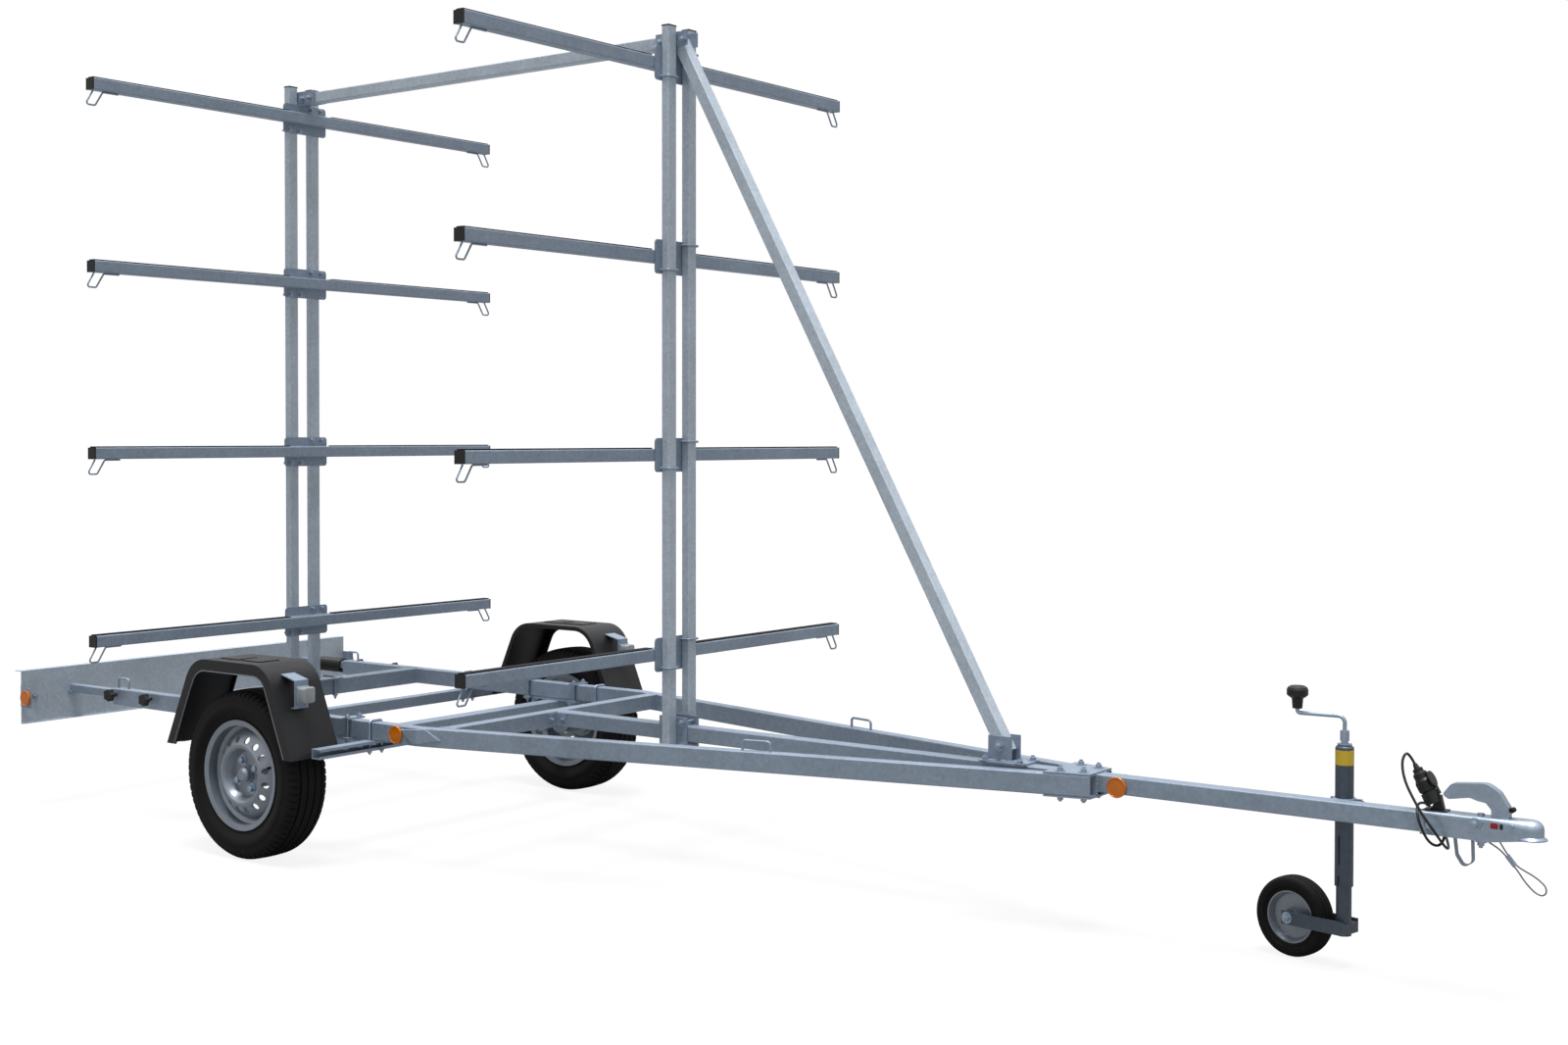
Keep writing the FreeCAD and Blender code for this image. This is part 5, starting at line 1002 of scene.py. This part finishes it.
def triangles():
    """Red triangles with a raised rim on the back of the panel."""
    mesh = bmesh.new()
    half, tall = 75, 130
    mid = 350 + tall / 3
    for s in SIDES:
        y, rings = s * 400, []
        for inset, out in ((0, 0.1), (0, 6), (5, 7), (10, 5), (12, 5)):
            k = 1 - inset / 45
            corners = ((y - half * k, mid - tall / 3 * k), (y + half * k, mid - tall / 3 * k),
                       (y, mid + tall * 2 / 3 * k))
            rings.append([mesh.verts.new(at(BOARD_BACK - out, b, c)) for b, c in corners])
        bridge(mesh, rings)
        mesh.faces.new(rings[-1])
        mesh.faces.new(rings[0][::-1])
    finished("rear_triangles", mesh, "red", "light_board")


class TRAILER_OT_lamps(bpy.types.Operator):
    """Rear lamps, front lamps, side and end reflectors"""
    bl_idname = "trailer.lamps"
    bl_label = "Lamps and reflectors"

    def execute(self, context):
        rear_lamps()
        front_lamps()
        reflectors()
        triangles()
        return {"FINISHED"}


class TRAILER_OT_wheels(bpy.types.Operator):
    """Wheel bolts' heads, valve stems and the ring on each dust cap"""
    bl_idname = "trailer.wheels"
    bl_label = "Wheel details"

    def execute(self, context):
        tree = fastener_tree()
        circle, valve_at, valve_turn = 50, 150, 0.26
        for side, name in zip(SIDES, ("right", "left")):
            body, way = f"wheel_{name}", (0, side, 0)
            angles = [math.radians(90 * turn + 27) for turn in range(4)]
            places = [((circle * math.cos(angle), side * (HALF_TRACK + 34.2),
                        WHEEL_Z + circle * math.sin(angle)), way) for angle in angles]
            grown(f"wheel_bolts_{name}", seeds(places), tree, WHEEL_BOLT, "plated", body,
                  30)
            stem = bmesh.new()
            lathe(stem, [(0, 0), (7.5, 0), (7, 3), (4.5, 5), (4, 24), (4.6, 25), (4.6, 33),
                         (3.8, 35), (0, 35)],
                  (valve_at * math.cos(valve_turn), side * (HALF_TRACK + 30),
                   WHEEL_Z + valve_at * math.sin(valve_turn)), (-0.45, side, -0.1), 16)
            finished(f"valve_{name}", stem, "strip", body)
            cap = bmesh.new()
            lathe(cap, [(22, 0), (23.6, 0.6), (24.2, 2), (23.6, 3.4), (22, 4)],
                  (0, side * (HALF_TRACK + 50), WHEEL_Z), way)
            finished(f"cap_ring_{name}", cap, "plated", body)
        return {"FINISHED"}


def coupling_marks():
    """Coloured windows on the coupling's sides and the roller before the lever."""
    red, dark, roller = bmesh.new(), bmesh.new(), bmesh.new()
    for s in SIDES:
        for mesh, width, x in ((red, 19, 3770), (dark, 8, 3787)):
            block(mesh, (width, 14, 1.4), 3, 0.4, (x, s * 28.9, 437), (0, s, 0))
    finished("red_window", red, "red", "frame")
    finished("dark_window", dark, "plastic", "frame")
    lathe(roller, [(0, 0), (5.5, 0), (6.5, 1), (6.5, 19), (5.5, 20), (0, 20)],
          (3806, -10, 476), (0, 1, 0), 20)
    finished("lever_roller", roller, "strip", "frame")


def label_band():
    """Blank band of film round the near side of the jockey tube."""
    mesh = bmesh.new()
    outer, inner, low, high, steps = 24.25, 24.05, 532, 571, 20
    section = ((outer, low), (outer, high), (inner, high), (inner, low))
    columns = []
    for i in range(steps + 1):
        angle = math.radians(-185 + 230 * i / steps)
        x, y = math.cos(angle), math.sin(angle)
        columns.append([mesh.verts.new(at(JOCKEY.x + x * r, JOCKEY.y + y * r, z))
                        for r, z in section])
    bridge(mesh, columns)
    mesh.faces.new(columns[0])
    mesh.faces.new(columns[-1][::-1])
    finished("label_band", mesh, "label", "jockey_tube")


def guard_edges():
    """Rolled bead along the wheel opening of each mudguard, coloured pale grey as a painted
    highlight.
    """
    outline = opening()
    for side, name in zip(SIDES, ("right", "left")):
        line = [at(x, side * 864, z) for x, z in outline]
        holder = shown("edge", round_curve("edge", "POLY", line, 2.2 * MM, 2)[0])
        mesh = as_mesh(holder)
        bpy.data.objects.remove(holder)
        finished(f"guard_edge_{name}", mesh, "edge", "frame", 60)


def opening():
    """Outline of the wheel opening: the mudguard's own, 38 mm in, with round corners."""
    inset, low = 38, 357
    top, reach = 650 - inset, 105 - inset
    corners = [(-350 + inset, low), (-215 + inset * 0.6, top), (165 - inset * 0.6, top),
               (290 - inset, low)]
    points = [corners[0]]
    for back, corner, ahead in zip(corners, corners[1:], corners[2:]):
        corner = Vector(corner)
        first = (Vector(back) - corner).normalized()
        last = (Vector(ahead) - corner).normalized()
        half = first.angle(last) / 2
        run = reach / math.tan(half)
        centre = corner + (first + last).normalized() * (reach / math.sin(half))
        start, end = corner + first * run - centre, corner + last * run - centre
        sweep = start.angle_signed(end)
        for i in range(9):
            turned = start.copy()
            turned.rotate(Matrix.Rotation(-sweep * i / 8, 2))
            points.append(centre + turned)
    return points + [corners[-1]]


class TRAILER_OT_nose(bpy.types.Operator):
    """Small parts at the coupling and the jockey wheel, and the mudguards' rolled edge"""
    bl_idname = "trailer.nose"
    bl_label = "Nose details"

    def execute(self, context):
        coupling_marks()
        label_band()
        guard_edges()
        return {"FINISHED"}


class TRAILER_PT_panel(bpy.types.Panel):
    """The trailer's pieces and the values behind them"""
    bl_idname = "TRAILER_PT_panel"
    bl_label = "Boat rack trailer"
    bl_space_type = "VIEW_3D"
    bl_region_type = "UI"
    bl_category = "Trailer"

    def draw(self, context):
        for operator in OPERATORS:
            self.layout.operator(operator.bl_idname)
        for group in (context.scene.trailer_colours, context.scene.trailer_sizes):
            for name in group.__annotations__:
                self.layout.prop(group, name)


OPERATORS = [TRAILER_OT_stage, TRAILER_OT_finishes, TRAILER_OT_leads, TRAILER_OT_tyres,
             TRAILER_OT_fasteners, TRAILER_OT_welds, TRAILER_OT_lamps, TRAILER_OT_wheels,
             TRAILER_OT_nose]
CLASSES = [TrailerColours, TrailerSizes, *OPERATORS, TRAILER_PT_panel]


def register():
    for item in CLASSES:
        bpy.utils.register_class(item)
    bpy.types.Scene.trailer_colours = bpy.props.PointerProperty(type=TrailerColours)
    bpy.types.Scene.trailer_sizes = bpy.props.PointerProperty(type=TrailerSizes)


def unregister():
    del bpy.types.Scene.trailer_sizes
    del bpy.types.Scene.trailer_colours
    for item in reversed(CLASSES):
        bpy.utils.unregister_class(item)


def main():
    register()
    bpy.context.scene.view_settings.view_transform = "Standard"
    for operator in OPERATORS:
        group, name = operator.bl_idname.split(".")
        getattr(getattr(bpy.ops, group), name)()
    bpy.context.view_layer.update()


if __name__ == "__main__":
    main()
